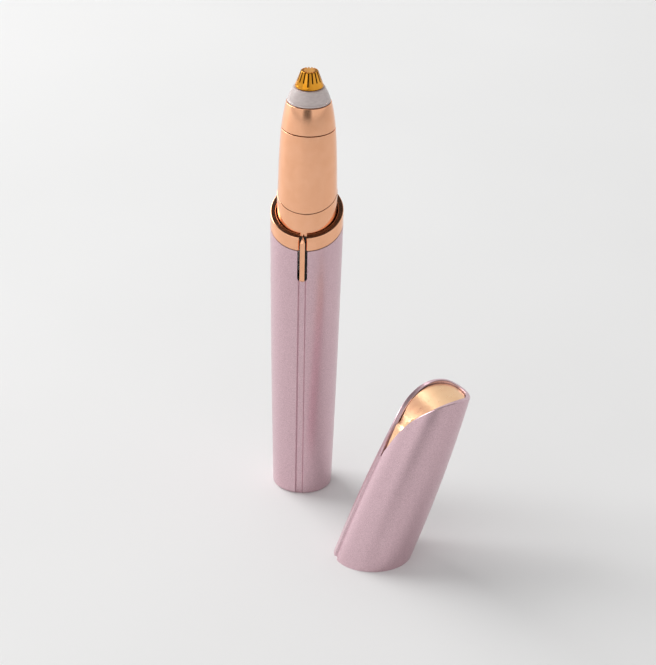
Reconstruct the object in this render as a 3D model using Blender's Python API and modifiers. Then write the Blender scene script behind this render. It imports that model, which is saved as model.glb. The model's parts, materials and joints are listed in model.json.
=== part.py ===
"""Electric eyebrow trimmer with its cap off.

The trimmer stands upright on its base, centred on the Z axis, with the switch to the front (-Y).
The cap stands on its slanted mouth beside it and leans by the slant of that mouth.
Everything is in metres. Heights are chained from the barrel's floor up, radii from the battery
and the motor outwards, so that a change of one size carries what seats on it.
"""

import math

import bmesh
import bpy
from mathutils import Matrix, Vector

# Clearances shared by all pieces
FIT_GAP = 0.0002
SLIDE_GAP = 0.0003
OVERRUN = 0.002
MERGE_DISTANCE = 0.000002

# The slant shared by the collar, the neck's lower seam and the cap's mouth
SLANT = math.radians(21.8)

# Battery, one AAA cell
BATTERY_RADIUS = 0.00525
BATTERY_CAN_LENGTH = 0.0436
BATTERY_NUB_RADIUS = 0.0019
BATTERY_NUB_HEIGHT = 0.0009
BATTERY_EDGE = 0.0004

# Battery cradle, the lower half of the chassis
CRADLE_WALL = 0.0005
CRADLE_END_WALL = 0.001
CRADLE_RIM_RISE = 0.0008
BULKHEAD_THICKNESS = 0.001

# Battery contacts and the spring under the battery
CONTACT_THICKNESS = 0.0003
CONTACT_RADIUS = 0.0042
CONTACT_STRIP_WIDTH = 0.0024
CONTACT_TAB_WIDTH = 0.002
CONTACT_RISE = 0.003
SPRING_LENGTH = 0.0046
SPRING_COIL_RADIUS = 0.003
SPRING_WIRE_RADIUS = 0.00025
SPRING_TURNS = 4
SPRING_POINTS_A_TURN = 10

# Barrel
BARREL_WALL = 0.0011
BARREL_FLOOR = 0.0012
BARREL_SWELL = 0.00013
BARREL_FOOT_EDGE = 0.0006
CHANNEL_WIDTH = 0.0021
CHANNEL_DEPTH = 0.00045

# Collar ring at the top of the barrel
COLLAR_HEIGHT = 0.0036
COLLAR_LEDGE_WIDTH = 0.00125
COLLAR_EDGE = 0.00025
COLLAR_SPIGOT_WALL = 0.0005
COLLAR_SPIGOT_DEPTH = 0.004
COLLAR_SLOT_WIDTH = 0.0018

# Electronics bay above the battery
BAY_HEIGHT = 0.0168
BAY_WALL = 0.00075
BAY_SIDE_GAP = 0.0001
COVER_HALF_WIDTH = 0.0048
COVER_HOOK_HEIGHT = 0.001
SCREW_HEIGHT = 0.0024
SCREW_HEAD_RADIUS = 0.0012
SCREW_HEAD_THICKNESS = 0.0005
SCREW_SHANK_RADIUS = 0.0005
SCREW_LENGTH = 0.0036
SCREW_SLOT_WIDTH = 0.0003
SCREW_SLOT_DEPTH = 0.0002
SCREW_BOSS_HALF_WIDTH = 0.002
SCREW_PAD_DEPTH = 0.0014

# Switch slot and the button strip that slides in it
SLOT_WIDTH = 0.0024
SLOT_DEPTH = 0.0082
BUTTON_WIDTH = 0.0012
BUTTON_PROUD = 0.0001
BUTTON_DEPTH = 0.0009
BUTTON_END_GAP = 0.0004
BUTTON_RISE = 0.0002
BUTTON_POINT = 0.0016
BUTTON_BEVEL = 0.0002
BUTTON_STEM_WIDTH = 0.0008
BUTTON_STEM_HEIGHT = 0.003
BUTTON_TRAVEL = 0.0022

# Carriage that joins the button to the electric switch
CARRIAGE_WIDTH = 0.0034
CARRIAGE_HEIGHT = 0.0056
CARRIAGE_THICKNESS = 0.0005
CARRIAGE_JAW_HEIGHT = 0.001
CARRIAGE_JAW_WIDTH = 0.0024
WINDOW_END_GAP = 0.0008

# Circuit board and what sits on it
BOARD_WIDTH = 0.0084
BOARD_THICKNESS = 0.0008
BOARD_RAISE = 0.0006
BOARD_BACK = 0.0023
SWITCH_WIDTH = 0.0036
SWITCH_HEIGHT = 0.008
SWITCH_DEPTH = 0.002
SWITCH_RISE = 0.0048
KNOB_WIDTH = 0.0015
KNOB_HEIGHT = 0.0015
KNOB_REACH = 0.001
KNOB_ROOT = 0.0007
RESISTOR_SIZE = (0.0012, 0.0006, 0.002)
CAPACITOR_RADIUS = 0.0012
CAPACITOR_HEIGHT = 0.0022

# Motor
MOTOR_RADIUS = 0.0045
MOTOR_LENGTH = 0.0155
MOTOR_WALL = 0.0004
MOTOR_BOSS_RADIUS = 0.0015
MOTOR_BOSS_HEIGHT = 0.0007
MOTOR_ROOM = 0.0035
MOTOR_EDGE = 0.0005
END_CAP_HEIGHT = 0.0014
END_CAP_PLUG = 0.0012
MAGNET_THICKNESS = 0.0006
MAGNET_LENGTH = 0.009
ARMATURE_LENGTH = 0.008
ARMATURE_POLES = 3
ARMATURE_SLOT_WIDTH = 0.0008
ARMATURE_SLOT_DEPTH = 0.0014
TERMINAL_WIDTH = 0.0012
TERMINAL_THICKNESS = 0.0003
TERMINAL_LENGTH = 0.0014
TERMINAL_OFFSET = 0.0025
SHAFT_RADIUS = 0.0005

# Motor holder, the upper half of the chassis, and the rubber sleeve in it
SLEEVE_THICKNESS = 0.0005
SLEEVE_SETBACK = 0.002
HOLDER_WALL = 0.0006
HOLDER_TOP = 0.0008
HOLDER_SETBACK = 0.0005
NOZZLE_HEIGHT = 0.0048
NOZZLE_WALL = 0.0006
BUSH_WALL = 0.0004
BUSH_LENGTH = 0.0026
WIRE_NOTCH_HALF_WIDTH = 0.0009

# Neck, skirt and head ring, one smooth gold outline
NECK_WALL = 0.0007
NECK_ROOM = 0.0005
NECK_PLATE = 0.0009
NECK_STRAIGHT = 0.0015
NECK_TAPER = 0.0006
NECK_DRAW = 0.00125
NECK_CURVE_POWER = 5
NECK_RIM_HEIGHT = 0.0014
NECK_RIM_WALL = 0.0004
SKIRT_HEIGHT = 0.0049
SKIRT_TUCK = 0.0033
SEAM_EDGE = 0.00012
HEAD_RING_HEIGHT = 0.0066
SNAP_RING_HEIGHT = 0.0004
SNAP_RING_GROOVE = 0.0001

# Light board, lights and the clear ring
LIGHT_BOARD_HOLE = 0.0025
LIGHT_BOARD_THICKNESS = 0.0006
LIGHT_SIZE = (0.001, 0.0016, 0.0007)
LIGHT_OFFSET = 0.0039
LIGHT_RING_HEIGHT = 0.0036
LIGHT_RING_TOP_RADIUS = 0.00387
LIGHT_RING_BULGE = 0.00015
LIGHT_RING_EDGE = 0.00025
LIGHT_RING_DROP = 0.0042
LIGHT_BORE_RADIUS = 0.0031

# Cutter guard, the slotted gold tip
GUARD_HEIGHT = 0.0041
GUARD_RING_RADIUS = 0.0034
GUARD_RING_HEIGHT = 0.0007
GUARD_CONE_RADIUS = 0.0032
GUARD_TOP_RADIUS = 0.00202
GUARD_TOP_EDGE = 0.00018
GUARD_WALL = 0.00035
GUARD_SLOTS = 16
GUARD_SLOT_WIDTH = 0.00034
GUARD_HUB_RADIUS = 0.0013
GUARD_SLOT_DROP = 0.0024
GUARD_LONG_SLOT_DROP = 0.0031

# Rotary cutter and its drive
CARRIER_HEIGHT = 0.003
CUTTER_GAP = 0.00025
CUTTER_BASE_HEIGHT = 0.0014
CUTTER_BLADES = 8
CUTTER_SLOT_WIDTH = 0.0004
CUTTER_HUB_RADIUS = 0.0009
CUTTER_SLOT_DROP = 0.002
CUTTER_SPRING_TURNS = 3
CUTTER_SPRING_WIRE_RADIUS = 0.00012
CUTTER_SPRING_COIL_RADIUS = 0.00095
COUPLER_RADIUS = 0.0011
COUPLER_HEIGHT = 0.002
COUPLER_SLOT_DEPTH = 0.0008
COUPLER_TONGUE_WIDTH = 0.0005
COUPLER_TONGUE_LENGTH = 0.0016
COUPLER_LIFT = 0.0002
DRIVEN_HEIGHT = 0.0009
SPINDLE_SEAT_DEPTH = 0.0005

# Wires
WIRE_RADIUS = 0.00025
WIRE_SPREAD = 0.00045
WIRE_POINTS = 7

# Cap
CAP_LENGTH = 0.0456
CAP_WALL = 0.0011
CAP_SWELL_SLOPE_SHARE = 0.0152
CAP_TAPER = 0.00281
CAP_RIB_HEIGHT = 0.0001
CAP_RIB_WIDTH = 0.0008
CAP_RIB_FIRST = 0.006
CAP_RIB_PITCH = 0.004
CAP_RIBS = 3
CAP_SCOOP_HEIGHT = 0.02125
CAP_SCOOP_TURN = math.radians(125)
CAP_FRONT_TURN = math.radians(-5)
CAP_SLIT_WIDTH = 0.0007
CAP_SLIT_LENGTH = 0.002
CAP_SLIT_RISE = 0.0026
CAP_SLIT_SPREAD = math.radians(5)
CAP_INSERT_SETBACK = 0.0005
CAP_INSERT_WALL = 0.0006
CAP_INSERT_DROP = 0.0012
CAP_TONGUE_HEIGHT = 0.0075
CAP_TONGUE_FADE = 0.0025
CAP_STAND_X = 0.02074
CAP_STAND_Y = -0.03237
CAP_LEAN_DIRECTION = math.radians(27)

# How finely round things are divided
LARGE_STEPS = 40
MIDDLE_STEPS = 32
SMALL_STEPS = 20
TINY_STEPS = 12
ARC_PIECES = 2
SCOOP_PIECES = 20
SLIT_PIECES = 3
BACK_PIECES = 4
PROFILE_PIECES = 6

# Heights, from the barrel's floor up
slope = math.tan(SLANT)
cradle_low = BARREL_FLOOR + FIT_GAP
negative_low = cradle_low + CRADLE_END_WALL + FIT_GAP
spring_low = negative_low + CONTACT_THICKNESS + FIT_GAP
battery_low = spring_low + SPRING_LENGTH + FIT_GAP
battery_high = battery_low + BATTERY_CAN_LENGTH
positive_low = battery_high + BATTERY_NUB_HEIGHT + FIT_GAP
bulkhead_low = positive_low + CONTACT_THICKNESS + FIT_GAP
bulkhead_high = bulkhead_low + BULKHEAD_THICKNESS
barrel_top = bulkhead_high + BAY_HEIGHT
ledge_height = barrel_top + COLLAR_HEIGHT
lower_seam = ledge_height + SKIRT_HEIGHT
skirt_low = ledge_height - SKIRT_TUCK

# Radii, from the battery and the motor outwards
cradle_bore = BATTERY_RADIUS + FIT_GAP
cradle_radius = cradle_bore + CRADLE_WALL
barrel_base_radius = cradle_radius + FIT_GAP + BARREL_WALL
sleeve_bore = MOTOR_RADIUS + FIT_GAP
holder_bore = sleeve_bore + SLEEVE_THICKNESS + FIT_GAP
holder_radius = holder_bore + HOLDER_WALL
neck_radius = holder_radius + NECK_ROOM + NECK_WALL
bay_radius = neck_radius - BAY_SIDE_GAP
bay_bore = bay_radius - BAY_WALL
collar_bore = neck_radius + SLIDE_GAP
barrel_top_radius = collar_bore + COLLAR_LEDGE_WIDTH
spigot_radius = collar_bore + COLLAR_SPIGOT_WALL

# Switch, board and motor heights follow the slot and the bay
barrel_front_top = barrel_top - barrel_top_radius * slope
ledge_front = ledge_height - barrel_top_radius * slope
slot_low = barrel_front_top - SLOT_DEPTH
button_low = slot_low + BUTTON_END_GAP
button_high = ledge_front + BUTTON_RISE
switch_centre = slot_low + SWITCH_RISE
knob_rest = switch_centre - BUTTON_TRAVEL / 2
switch_high = switch_centre + SWITCH_HEIGHT / 2
board_low = bulkhead_high + BOARD_RAISE
board_high = switch_high
board_front = BOARD_BACK + BOARD_THICKNESS
holder_low = board_high + HOLDER_SETBACK
end_cap_low = holder_low + MOTOR_ROOM
can_low = end_cap_low + END_CAP_HEIGHT + FIT_GAP
can_high = can_low + MOTOR_LENGTH
holder_top_low = can_high + FIT_GAP
holder_top_high = holder_top_low + HOLDER_TOP
nozzle_high = holder_top_high + NOZZLE_HEIGHT
neck_plate_low = nozzle_high + FIT_GAP
upper_seam = neck_plate_low + NECK_PLATE
head_ring_low = upper_seam + FIT_GAP
head_top = upper_seam + HEAD_RING_HEIGHT
light_top = head_top + LIGHT_RING_HEIGHT
tip_top = light_top + GUARD_HEIGHT
bush_radius = SHAFT_RADIUS + FIT_GAP + BUSH_WALL
bush_bore = SHAFT_RADIUS + FIT_GAP
nozzle_bore = bush_radius + FIT_GAP
coupler_low = nozzle_high + FIT_GAP
coupler_high = coupler_low + COUPLER_HEIGHT
light_board_low = upper_seam + FIT_GAP
light_board_high = light_board_low + LIGHT_BOARD_THICKNESS
light_ring_low = head_top - LIGHT_RING_DROP
neck_turn = ledge_height + NECK_STRAIGHT
scoop_low = CAP_LENGTH - CAP_SCOOP_HEIGHT


def barrel_radius(height):
    """Outer radius of the barrel, a taper with a slight swell."""
    share = height / barrel_top
    taper = (barrel_top_radius - barrel_base_radius) * share
    return barrel_base_radius + taper + BARREL_SWELL * 4 * share * (1 - share)


def head_radius(height):
    """Outer radius of the skirt, neck and head ring, an even taper that is drawn in near the top."""
    share = max(0, height - neck_turn) / (head_top - neck_turn)
    return neck_radius - NECK_TAPER * share - NECK_DRAW * share ** NECK_CURVE_POWER


def cap_radius(height):
    """Outer radius of the cap at a height along its own axis from the middle of its mouth."""
    share = height / CAP_LENGTH
    return barrel_top_radius + CAP_SWELL_SLOPE_SHARE * height - CAP_TAPER * share * share


# The neck's top rim fits the bore of the head ring at the rim's top
neck_rim_radius = head_radius(upper_seam + NECK_RIM_HEIGHT) - NECK_WALL - FIT_GAP / 4


def spread(low, high, pieces):
    """Evenly spaced values from low to high, both ends included."""
    return [low + (high - low) * i / pieces for i in range(pieces + 1)]


def rounded(points, edges):
    """The same outline with the corners named in edges, by index and radius, made round."""
    result = []
    for i, point in enumerate(points):
        radius = edges.get(i, 0)
        if radius == 0:
            result.append(point)
            continue
        corner = Vector(point)
        before = (Vector(points[i - 1]) - corner).normalized() * radius
        after = (Vector(points[(i + 1) % len(points)]) - corner).normalized() * radius
        for t in spread(0, 1, ARC_PIECES):
            result.append(tuple(corner + before * (1 - t) ** 2 + after * t ** 2))
    return result


def remove_all():
    for old in list(bpy.data.objects):
        bpy.data.objects.remove(old, do_unlink=True)
    for old in list(bpy.data.collections):
        bpy.data.collections.remove(old)


def new_collection(name):
    collection = bpy.data.collections.new(name)
    bpy.context.scene.collection.children.link(collection)
    return collection


remove_all()
parts = new_collection("eyebrow_trimmer")
cutters = new_collection("cutters")


def paint(name, colour, roughness, metallic=0.0, transmission=0.0):
    """A Principled material."""
    material = bpy.data.materials.new(name)
    material.use_nodes = True
    shader = material.node_tree.nodes["Principled BSDF"]
    shader.inputs["Base Color"].default_value = (*colour, 1.0)
    shader.inputs["Roughness"].default_value = roughness
    shader.inputs["Metallic"].default_value = metallic
    shader.inputs["Transmission Weight"].default_value = transmission
    return material


LILAC = ((0.60, 0.42, 0.46), 0.38, 0.7)
ROSE_GOLD = ((0.87, 0.55, 0.36), 0.16, 1.0)
DEEP_GOLD = ((0.80, 0.46, 0.12), 0.2, 1.0)
CLEAR = ((0.9, 0.88, 0.86), 0.12, 0.0, 0.9)
BLACK = ((0.02, 0.02, 0.022), 0.5)
WHITE = ((0.8, 0.8, 0.78), 0.45)
STEEL = ((0.6, 0.6, 0.6), 0.3, 1.0)
BRASS = ((0.8, 0.6, 0.28), 0.3, 1.0)
COPPER = ((0.75, 0.35, 0.2), 0.35, 1.0)
GREEN = ((0.03, 0.2, 0.08), 0.5)
RUBBER = ((0.05, 0.05, 0.05), 0.8)
CELL = ((0.1, 0.12, 0.16), 0.35, 0.3)
RED = ((0.6, 0.03, 0.03), 0.5)


def add_object(name, data, look=None):
    """Put data in the parts collection, or in the cutters where it has no look."""
    thing = bpy.data.objects.new(name, data)
    if look is None:
        cutters.objects.link(thing)
        thing.hide_render = True
        thing.display_type = "WIRE"
    else:
        parts.objects.link(thing)
        data.materials.append(paint(name + "_finish", *look))
    return thing


def turned(name, profile, look=None, steps=MIDDLE_STEPS, closed=False):
    """A turned shape. The profile of (radius, height) runs down its outer side."""
    mesh = bpy.data.meshes.new(name)
    edges = [(i, i + 1) for i in range(len(profile) - 1)]
    if closed:
        edges.append((len(profile) - 1, 0))
    mesh.from_pydata([(radius, 0, height) for radius, height in profile], edges, [])
    thing = add_object(name, mesh, look)
    screw = thing.modifiers.new("turn", "SCREW")
    screw.steps = steps
    screw.render_steps = steps
    screw.use_merge_vertices = True
    screw.merge_threshold = MERGE_DISTANCE
    screw.use_smooth_shade = True
    return thing


def tube_ring(name, bore, radius, low, high, look=None, steps=MIDDLE_STEPS):
    """A plain ring between two radii and two heights."""
    return turned(name, [(radius, high), (radius, low), (bore, low), (bore, high)], look, steps, True)


def block(name, low, high, look=None):
    """A box between two corners, from the cube primitive."""
    mesh = bpy.data.meshes.new(name)
    shape = bmesh.new()
    bmesh.ops.create_cube(shape, size=1)
    size = Vector(high) - Vector(low)
    bmesh.ops.scale(shape, vec=size, verts=shape.verts)
    bmesh.ops.translate(shape, vec=Vector(low) + size / 2, verts=shape.verts)
    shape.to_mesh(mesh)
    shape.free()
    return add_object(name, mesh, look)


def rod(name, centre, axis, radius, length, look=None, steps=TINY_STEPS):
    """A cylinder about any axis, from the cone primitive."""
    mesh = bpy.data.meshes.new(name)
    shape = bmesh.new()
    turn = Vector((0, 0, 1)).rotation_difference(Vector(axis)).to_matrix().to_4x4()
    place = Matrix.Translation(centre) @ turn
    bmesh.ops.create_cone(shape, cap_ends=True, segments=steps, radius1=radius, radius2=radius,
                          depth=length, matrix=place)
    shape.to_mesh(mesh)
    shape.free()
    return add_object(name, mesh, look)


def plain_mesh(source, name, look=None):
    """A curve or a stack of modifiers as a welded mesh object in the same place."""
    bpy.context.view_layer.update()
    graph = bpy.context.evaluated_depsgraph_get()
    mesh = bpy.data.meshes.new_from_object(source.evaluated_get(graph))
    mesh.materials.clear()
    shape = bmesh.new()
    shape.from_mesh(mesh)
    bmesh.ops.remove_doubles(shape, verts=shape.verts, dist=MERGE_DISTANCE)
    shape.to_mesh(mesh)
    shape.free()
    place = source.matrix_world.copy()
    bpy.data.objects.remove(source, do_unlink=True)
    thing = add_object(name, mesh, look)
    thing.matrix_world = place
    return thing


def side_solid(name, outline, half_width, look=None):
    """An outline of (y, z) points, extruded along X to both sides."""
    curve = bpy.data.curves.new(name + "_outline", "CURVE")
    curve.dimensions = "2D"
    curve.fill_mode = "BOTH"
    curve.extrude = half_width
    spline = curve.splines.new("POLY")
    spline.points.add(len(outline) - 1)
    for point, (y, z) in zip(spline.points, outline):
        point.co = (y, z, 0, 1)
    spline.use_cyclic_u = True
    drawn = add_object(name + "_outline", curve)
    drawn.matrix_world = Matrix(((0, 0, 1, 0), (1, 0, 0, 0), (0, 1, 0, 0), (0, 0, 0, 1)))
    return plain_mesh(drawn, name, look)


def wire(name, points, radius, look, bevel_resolution=2):
    """A round wire along points, with filled ends."""
    curve = bpy.data.curves.new(name, "CURVE")
    curve.dimensions = "3D"
    curve.bevel_depth = radius
    curve.bevel_resolution = bevel_resolution
    curve.use_fill_caps = True
    spline = curve.splines.new("POLY")
    spline.points.add(len(points) - 1)
    for point, place in zip(spline.points, points):
        point.co = (*place, 1)
    return add_object(name, curve, look)


def curved_route(start, leave, end, arrive, pieces):
    """Points on a smooth curve that leaves start along leave and meets end along arrive."""
    a = Vector(start)
    b = a + Vector(leave)
    d = Vector(end)
    c = d - Vector(arrive)
    route = []
    for t in spread(0, 1, pieces):
        s = 1 - t
        route.append(a * s ** 3 + b * 3 * s * s * t + c * 3 * s * t * t + d * t ** 3)
    return route


def coil_route(radius, low, high, turns, points_a_turn):
    """Points of a coil about the Z axis."""
    route = []
    for i in range(turns * points_a_turn + 1):
        angle = 2 * math.pi * i / points_a_turn
        height = low + (high - low) * i / (turns * points_a_turn)
        route.append((radius * math.cos(angle), radius * math.sin(angle), height))
    return route


def combine(target, tool, operation):
    change = target.modifiers.new(operation.lower() + "_" + tool.name, "BOOLEAN")
    change.operation = operation
    change.object = tool
    change.solver = "EXACT"


def cut(target, *tools):
    for tool in tools:
        combine(target, tool, "DIFFERENCE")


def join(target, *tools):
    for tool in tools:
        combine(target, tool, "UNION")


def slanted(thing, name, look):
    """The turned shape sheared so that its level rings follow the slant, low at the front."""
    result = plain_mesh(thing, name, look)
    shear = Matrix.Identity(4)
    shear[2][1] = slope
    result.data.transform(shear)
    return result


def slanted_space(name, height, above):
    """A cutter that takes all above, or all below, the slanted plane at a height on the axis."""
    reach = barrel_top_radius + OVERRUN
    span = tip_top
    low, high = (height, height + span) if above else (height - span, height)
    tool = block(name, (-reach, -reach, low), (reach, reach, high))
    shear = Matrix.Identity(4)
    shear[2][1] = slope
    tool.data.transform(shear)
    return tool


def body_frame(name, place=(0, 0, 0), turn=None):
    """The empty that a moving body hangs on, with its origin on the joint's axis."""
    frame = bpy.data.objects.new(name, None)
    parts.objects.link(frame)
    frame.matrix_world = Matrix.Translation(place) @ (turn or Matrix.Identity(4))
    return frame


def carry(frame, *things):
    """Hang finished pieces on a body's empty where they are."""
    bpy.context.view_layer.update()
    for thing in things:
        thing.parent = frame
        thing.matrix_parent_inverse = frame.matrix_world.inverted()


def make_barrel():
    """The lilac barrel: a closed cup with a channel down its front and a slot at its top."""
    top = barrel_top + barrel_top_radius * slope + OVERRUN
    counterbore = spigot_radius + FIT_GAP
    counterbore_low = skirt_low - COLLAR_SPIGOT_DEPTH - barrel_top_radius * slope
    inner_low = barrel_radius(BARREL_FLOOR) - BARREL_WALL
    profile = [(0, BARREL_FLOOR), (inner_low, BARREL_FLOOR)]
    for height in spread(BARREL_FLOOR, counterbore_low, 3)[1:]:
        profile.append((barrel_radius(height) - BARREL_WALL, height))
    profile += [(counterbore, counterbore_low), (counterbore, top)]
    for height in reversed(spread(BARREL_FOOT_EDGE, top, PROFILE_PIECES)):
        profile.append((barrel_radius(height), height))
    foot = [(barrel_radius(BARREL_FOOT_EDGE), BARREL_FOOT_EDGE), (barrel_base_radius, 0), (0, 0)]
    profile += rounded(foot, {1: BARREL_FOOT_EDGE})[1:]
    barrel = turned("barrel_shell", profile, LILAC, LARGE_STEPS)
    cut(barrel, slanted_space("barrel_top_cutter", barrel_top, True))
    inner_edge = []
    for height in spread(-OVERRUN, slot_low + SLOT_WIDTH / 2, PROFILE_PIECES):
        inner_edge.append((CHANNEL_DEPTH - barrel_radius(height), height))
    outside = -barrel_top_radius - OVERRUN
    outline = inner_edge + [(outside, inner_edge[-1][1]), (outside, inner_edge[0][1])]
    cut(barrel, side_solid("channel_cutter", outline, CHANNEL_WIDTH / 2))
    cut(barrel, *slot_tools("barrel", tip_top))
    return barrel


def slot_tools(owner, top):
    """Cutters for the switch slot: a straight slot up to some height, with a round lower end."""
    round_height = slot_low + SLOT_WIDTH / 2
    outer = barrel_top_radius + OVERRUN
    inner = bay_radius
    length = outer - inner
    straight = block(owner + "_slot_cutter", (-SLOT_WIDTH / 2, -outer, round_height),
                     (SLOT_WIDTH / 2, -inner, top))
    middle = (0, -inner - length / 2, round_height)
    end = rod(owner + "_slot_end_cutter", middle, (0, 1, 0), SLOT_WIDTH / 2, length, steps=SMALL_STEPS)
    return straight, end


def make_collar():
    """The gold collar ring: a slanted band with a spigot down into the barrel."""
    band_low = barrel_top + FIT_GAP
    spigot_low = barrel_top - COLLAR_SPIGOT_DEPTH
    corners = [
        (barrel_top_radius, ledge_height),
        (barrel_top_radius, band_low),
        (spigot_radius, band_low),
        (spigot_radius, spigot_low),
        (collar_bore, spigot_low),
        (collar_bore, ledge_height),
    ]
    ring = turned("collar_turning", rounded(corners, {0: COLLAR_EDGE}), None, LARGE_STEPS, True)
    collar = slanted(ring, "collar_ring", ROSE_GOLD)
    cut(collar, *slot_tools("collar", barrel_front_top))
    half = COLLAR_SLOT_WIDTH / 2
    notch_low = (-half, -barrel_top_radius - OVERRUN, slot_low + SLOT_WIDTH / 2)
    cut(collar, block("collar_notch_cutter", notch_low, (half, -bay_radius, tip_top)))
    return collar


def make_chassis():
    """The black chassis: a trough for the battery, and above a bulkhead the bay for the switch."""
    corners = [
        (0, board_high + OVERRUN + barrel_top_radius),
        (bay_radius, board_high + OVERRUN + barrel_top_radius),
        (bay_radius, bulkhead_high - BULKHEAD_THICKNESS),
        (cradle_radius, bulkhead_high - BULKHEAD_THICKNESS),
        (cradle_radius, cradle_low),
        (0, cradle_low),
    ]
    chassis = turned("chassis", corners, BLACK, MIDDLE_STEPS)
    cut(chassis, slanted_space("chassis_top_cutter", skirt_low - FIT_GAP, True))
    trough_low = cradle_low + CRADLE_END_WALL
    trough = [(0, bulkhead_low), (cradle_bore, bulkhead_low), (cradle_bore, trough_low), (0, trough_low)]
    bay = [(0, tip_top), (bay_bore, tip_top), (bay_bore, bulkhead_high), (0, bulkhead_high)]
    cut(chassis, turned("trough_cutter", trough, None, MIDDLE_STEPS))
    cut(chassis, turned("bay_cutter", bay, None, MIDDLE_STEPS))
    side = cradle_radius + OVERRUN
    rear = (side, side, bulkhead_low)
    cut(chassis, block("trough_rear_cutter", (-side, CRADLE_RIM_RISE, trough_low), rear))
    cut(chassis, cover_space("bay_rear_cutter", FIT_GAP))
    strip = CONTACT_STRIP_WIDTH / 2 + FIT_GAP
    strip_front = (-strip, -cradle_radius - FIT_GAP, negative_low - FIT_GAP)
    strip_back = (strip, -cradle_bore + CONTACT_THICKNESS + FIT_GAP, bulkhead_high + OVERRUN)
    cut(chassis, block("strip_slot_cutter", strip_front, strip_back))
    tab = CONTACT_TAB_WIDTH / 2 + FIT_GAP
    tab_back = FIT_GAP - BOARD_BACK + FIT_GAP + CONTACT_THICKNESS + FIT_GAP
    tab_front = -BOARD_BACK
    tab_low = (-tab, tab_front, bulkhead_low - OVERRUN)
    cut(chassis, block("tab_slot_cutter", tab_low, (tab, tab_back, bulkhead_high + OVERRUN)))
    half_window = CARRIAGE_WIDTH / 2 + SLIDE_GAP
    window_low = carriage_low() - WINDOW_END_GAP
    window_high = carriage_low() + CARRIAGE_HEIGHT + BUTTON_TRAVEL + WINDOW_END_GAP
    front = (-half_window, -bay_radius - OVERRUN, window_low)
    back = (half_window, -board_front, window_high)
    cut(chassis, block("window_cutter", front, back))
    boss_low = (-SCREW_BOSS_HALF_WIDTH, 0, bulkhead_high - FIT_GAP)
    boss_high = (SCREW_BOSS_HALF_WIDTH, boss_back(), bulkhead_high + SCREW_HEIGHT * 2)
    join(chassis, block("boss_tool", boss_low, boss_high))
    cut(chassis, screw_hole("boss_hole_cutter", SCREW_SHANK_RADIUS + FIT_GAP / 2))
    return chassis


def boss_back():
    """How far back the screw boss reaches."""
    return bay_bore - SCREW_PAD_DEPTH + BAY_WALL - FIT_GAP


def screw_hole(name, radius):
    """A cutter along Y where the cover's screw goes."""
    length = SCREW_LENGTH + OVERRUN
    centre = (0, bay_radius - length / 2, bulkhead_high + SCREW_HEIGHT)
    return rod(name, centre, (0, 1, 0), radius, length)


def carriage_low():
    """Lower end of the switch carriage, which is centred on the knob."""
    return knob_rest - CARRIAGE_HEIGHT / 2


def cover_space(name, margin):
    """A cutter or tool that takes the rear of the bay's wall, where the cover goes."""
    half = COVER_HALF_WIDTH + margin
    low = bulkhead_high + FIT_GAP - margin
    high = holder_low - COVER_HOOK_HEIGHT + margin
    return block(name, (-half, 0, low), (half, bay_radius + OVERRUN, high))


def make_cover():
    """The rear cover of the bay, with a thick pad where its screw goes through."""
    tall = holder_low + OVERRUN
    wall = tube_ring("cover_turning", bay_bore, bay_radius, bulkhead_high, tall, None, MIDDLE_STEPS)
    cover = plain_mesh(wall, "chassis_cover", BLACK)
    pad_low = (-SCREW_BOSS_HALF_WIDTH, boss_back() + FIT_GAP, bulkhead_high + FIT_GAP)
    pad_high = (SCREW_BOSS_HALF_WIDTH, bay_bore + BAY_WALL / 2, bulkhead_high + SCREW_HEIGHT * 2)
    join(cover, block("pad_tool", pad_low, pad_high))
    combine(cover, cover_space("cover_keep_tool", 0), "INTERSECT")
    cut(cover, screw_hole("cover_hole_cutter", SCREW_SHANK_RADIUS + FIT_GAP))
    recess = SCREW_HEAD_THICKNESS + FIT_GAP
    centre = (0, bay_radius - recess + (recess + OVERRUN) / 2, bulkhead_high + SCREW_HEIGHT)
    radius = SCREW_HEAD_RADIUS + FIT_GAP
    cut(cover, rod("cover_recess_cutter", centre, (0, 1, 0), radius, recess + OVERRUN))
    return cover


def make_cover_screw():
    """One screw along Y, with a slotted head."""
    height = bulkhead_high + SCREW_HEIGHT
    head_back = bay_radius - SCREW_HEAD_THICKNESS / 4
    head_front = head_back - SCREW_HEAD_THICKNESS
    centre = (0, (head_back + head_front) / 2, height)
    screw = rod("cover_screw", centre, (0, 1, 0), SCREW_HEAD_RADIUS, SCREW_HEAD_THICKNESS, STEEL)
    tail = head_back - SCREW_LENGTH
    shank_centre = (0, (head_back + tail) / 2 - FIT_GAP, height)
    shank = rod("screw_shank_tool", shank_centre, (0, 1, 0), SCREW_SHANK_RADIUS, SCREW_LENGTH - FIT_GAP * 2)
    join(screw, shank)
    slot = (-SCREW_HEAD_RADIUS - OVERRUN, head_back - SCREW_SLOT_DEPTH, height - SCREW_SLOT_WIDTH / 2)
    slot_end = (SCREW_HEAD_RADIUS + OVERRUN, head_back + OVERRUN, height + SCREW_SLOT_WIDTH / 2)
    cut(screw, block("screw_slot_cutter", slot, slot_end))
    return screw


def make_battery():
    corners = [
        (0, battery_high + BATTERY_NUB_HEIGHT),
        (BATTERY_NUB_RADIUS, battery_high + BATTERY_NUB_HEIGHT),
        (BATTERY_NUB_RADIUS, battery_high),
        (BATTERY_RADIUS, battery_high),
        (BATTERY_RADIUS, battery_low),
        (0, battery_low),
    ]
    edges = {1: BATTERY_EDGE / 2, 3: BATTERY_EDGE, 4: BATTERY_EDGE}
    return turned("battery", rounded(corners, edges), CELL, MIDDLE_STEPS)


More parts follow.
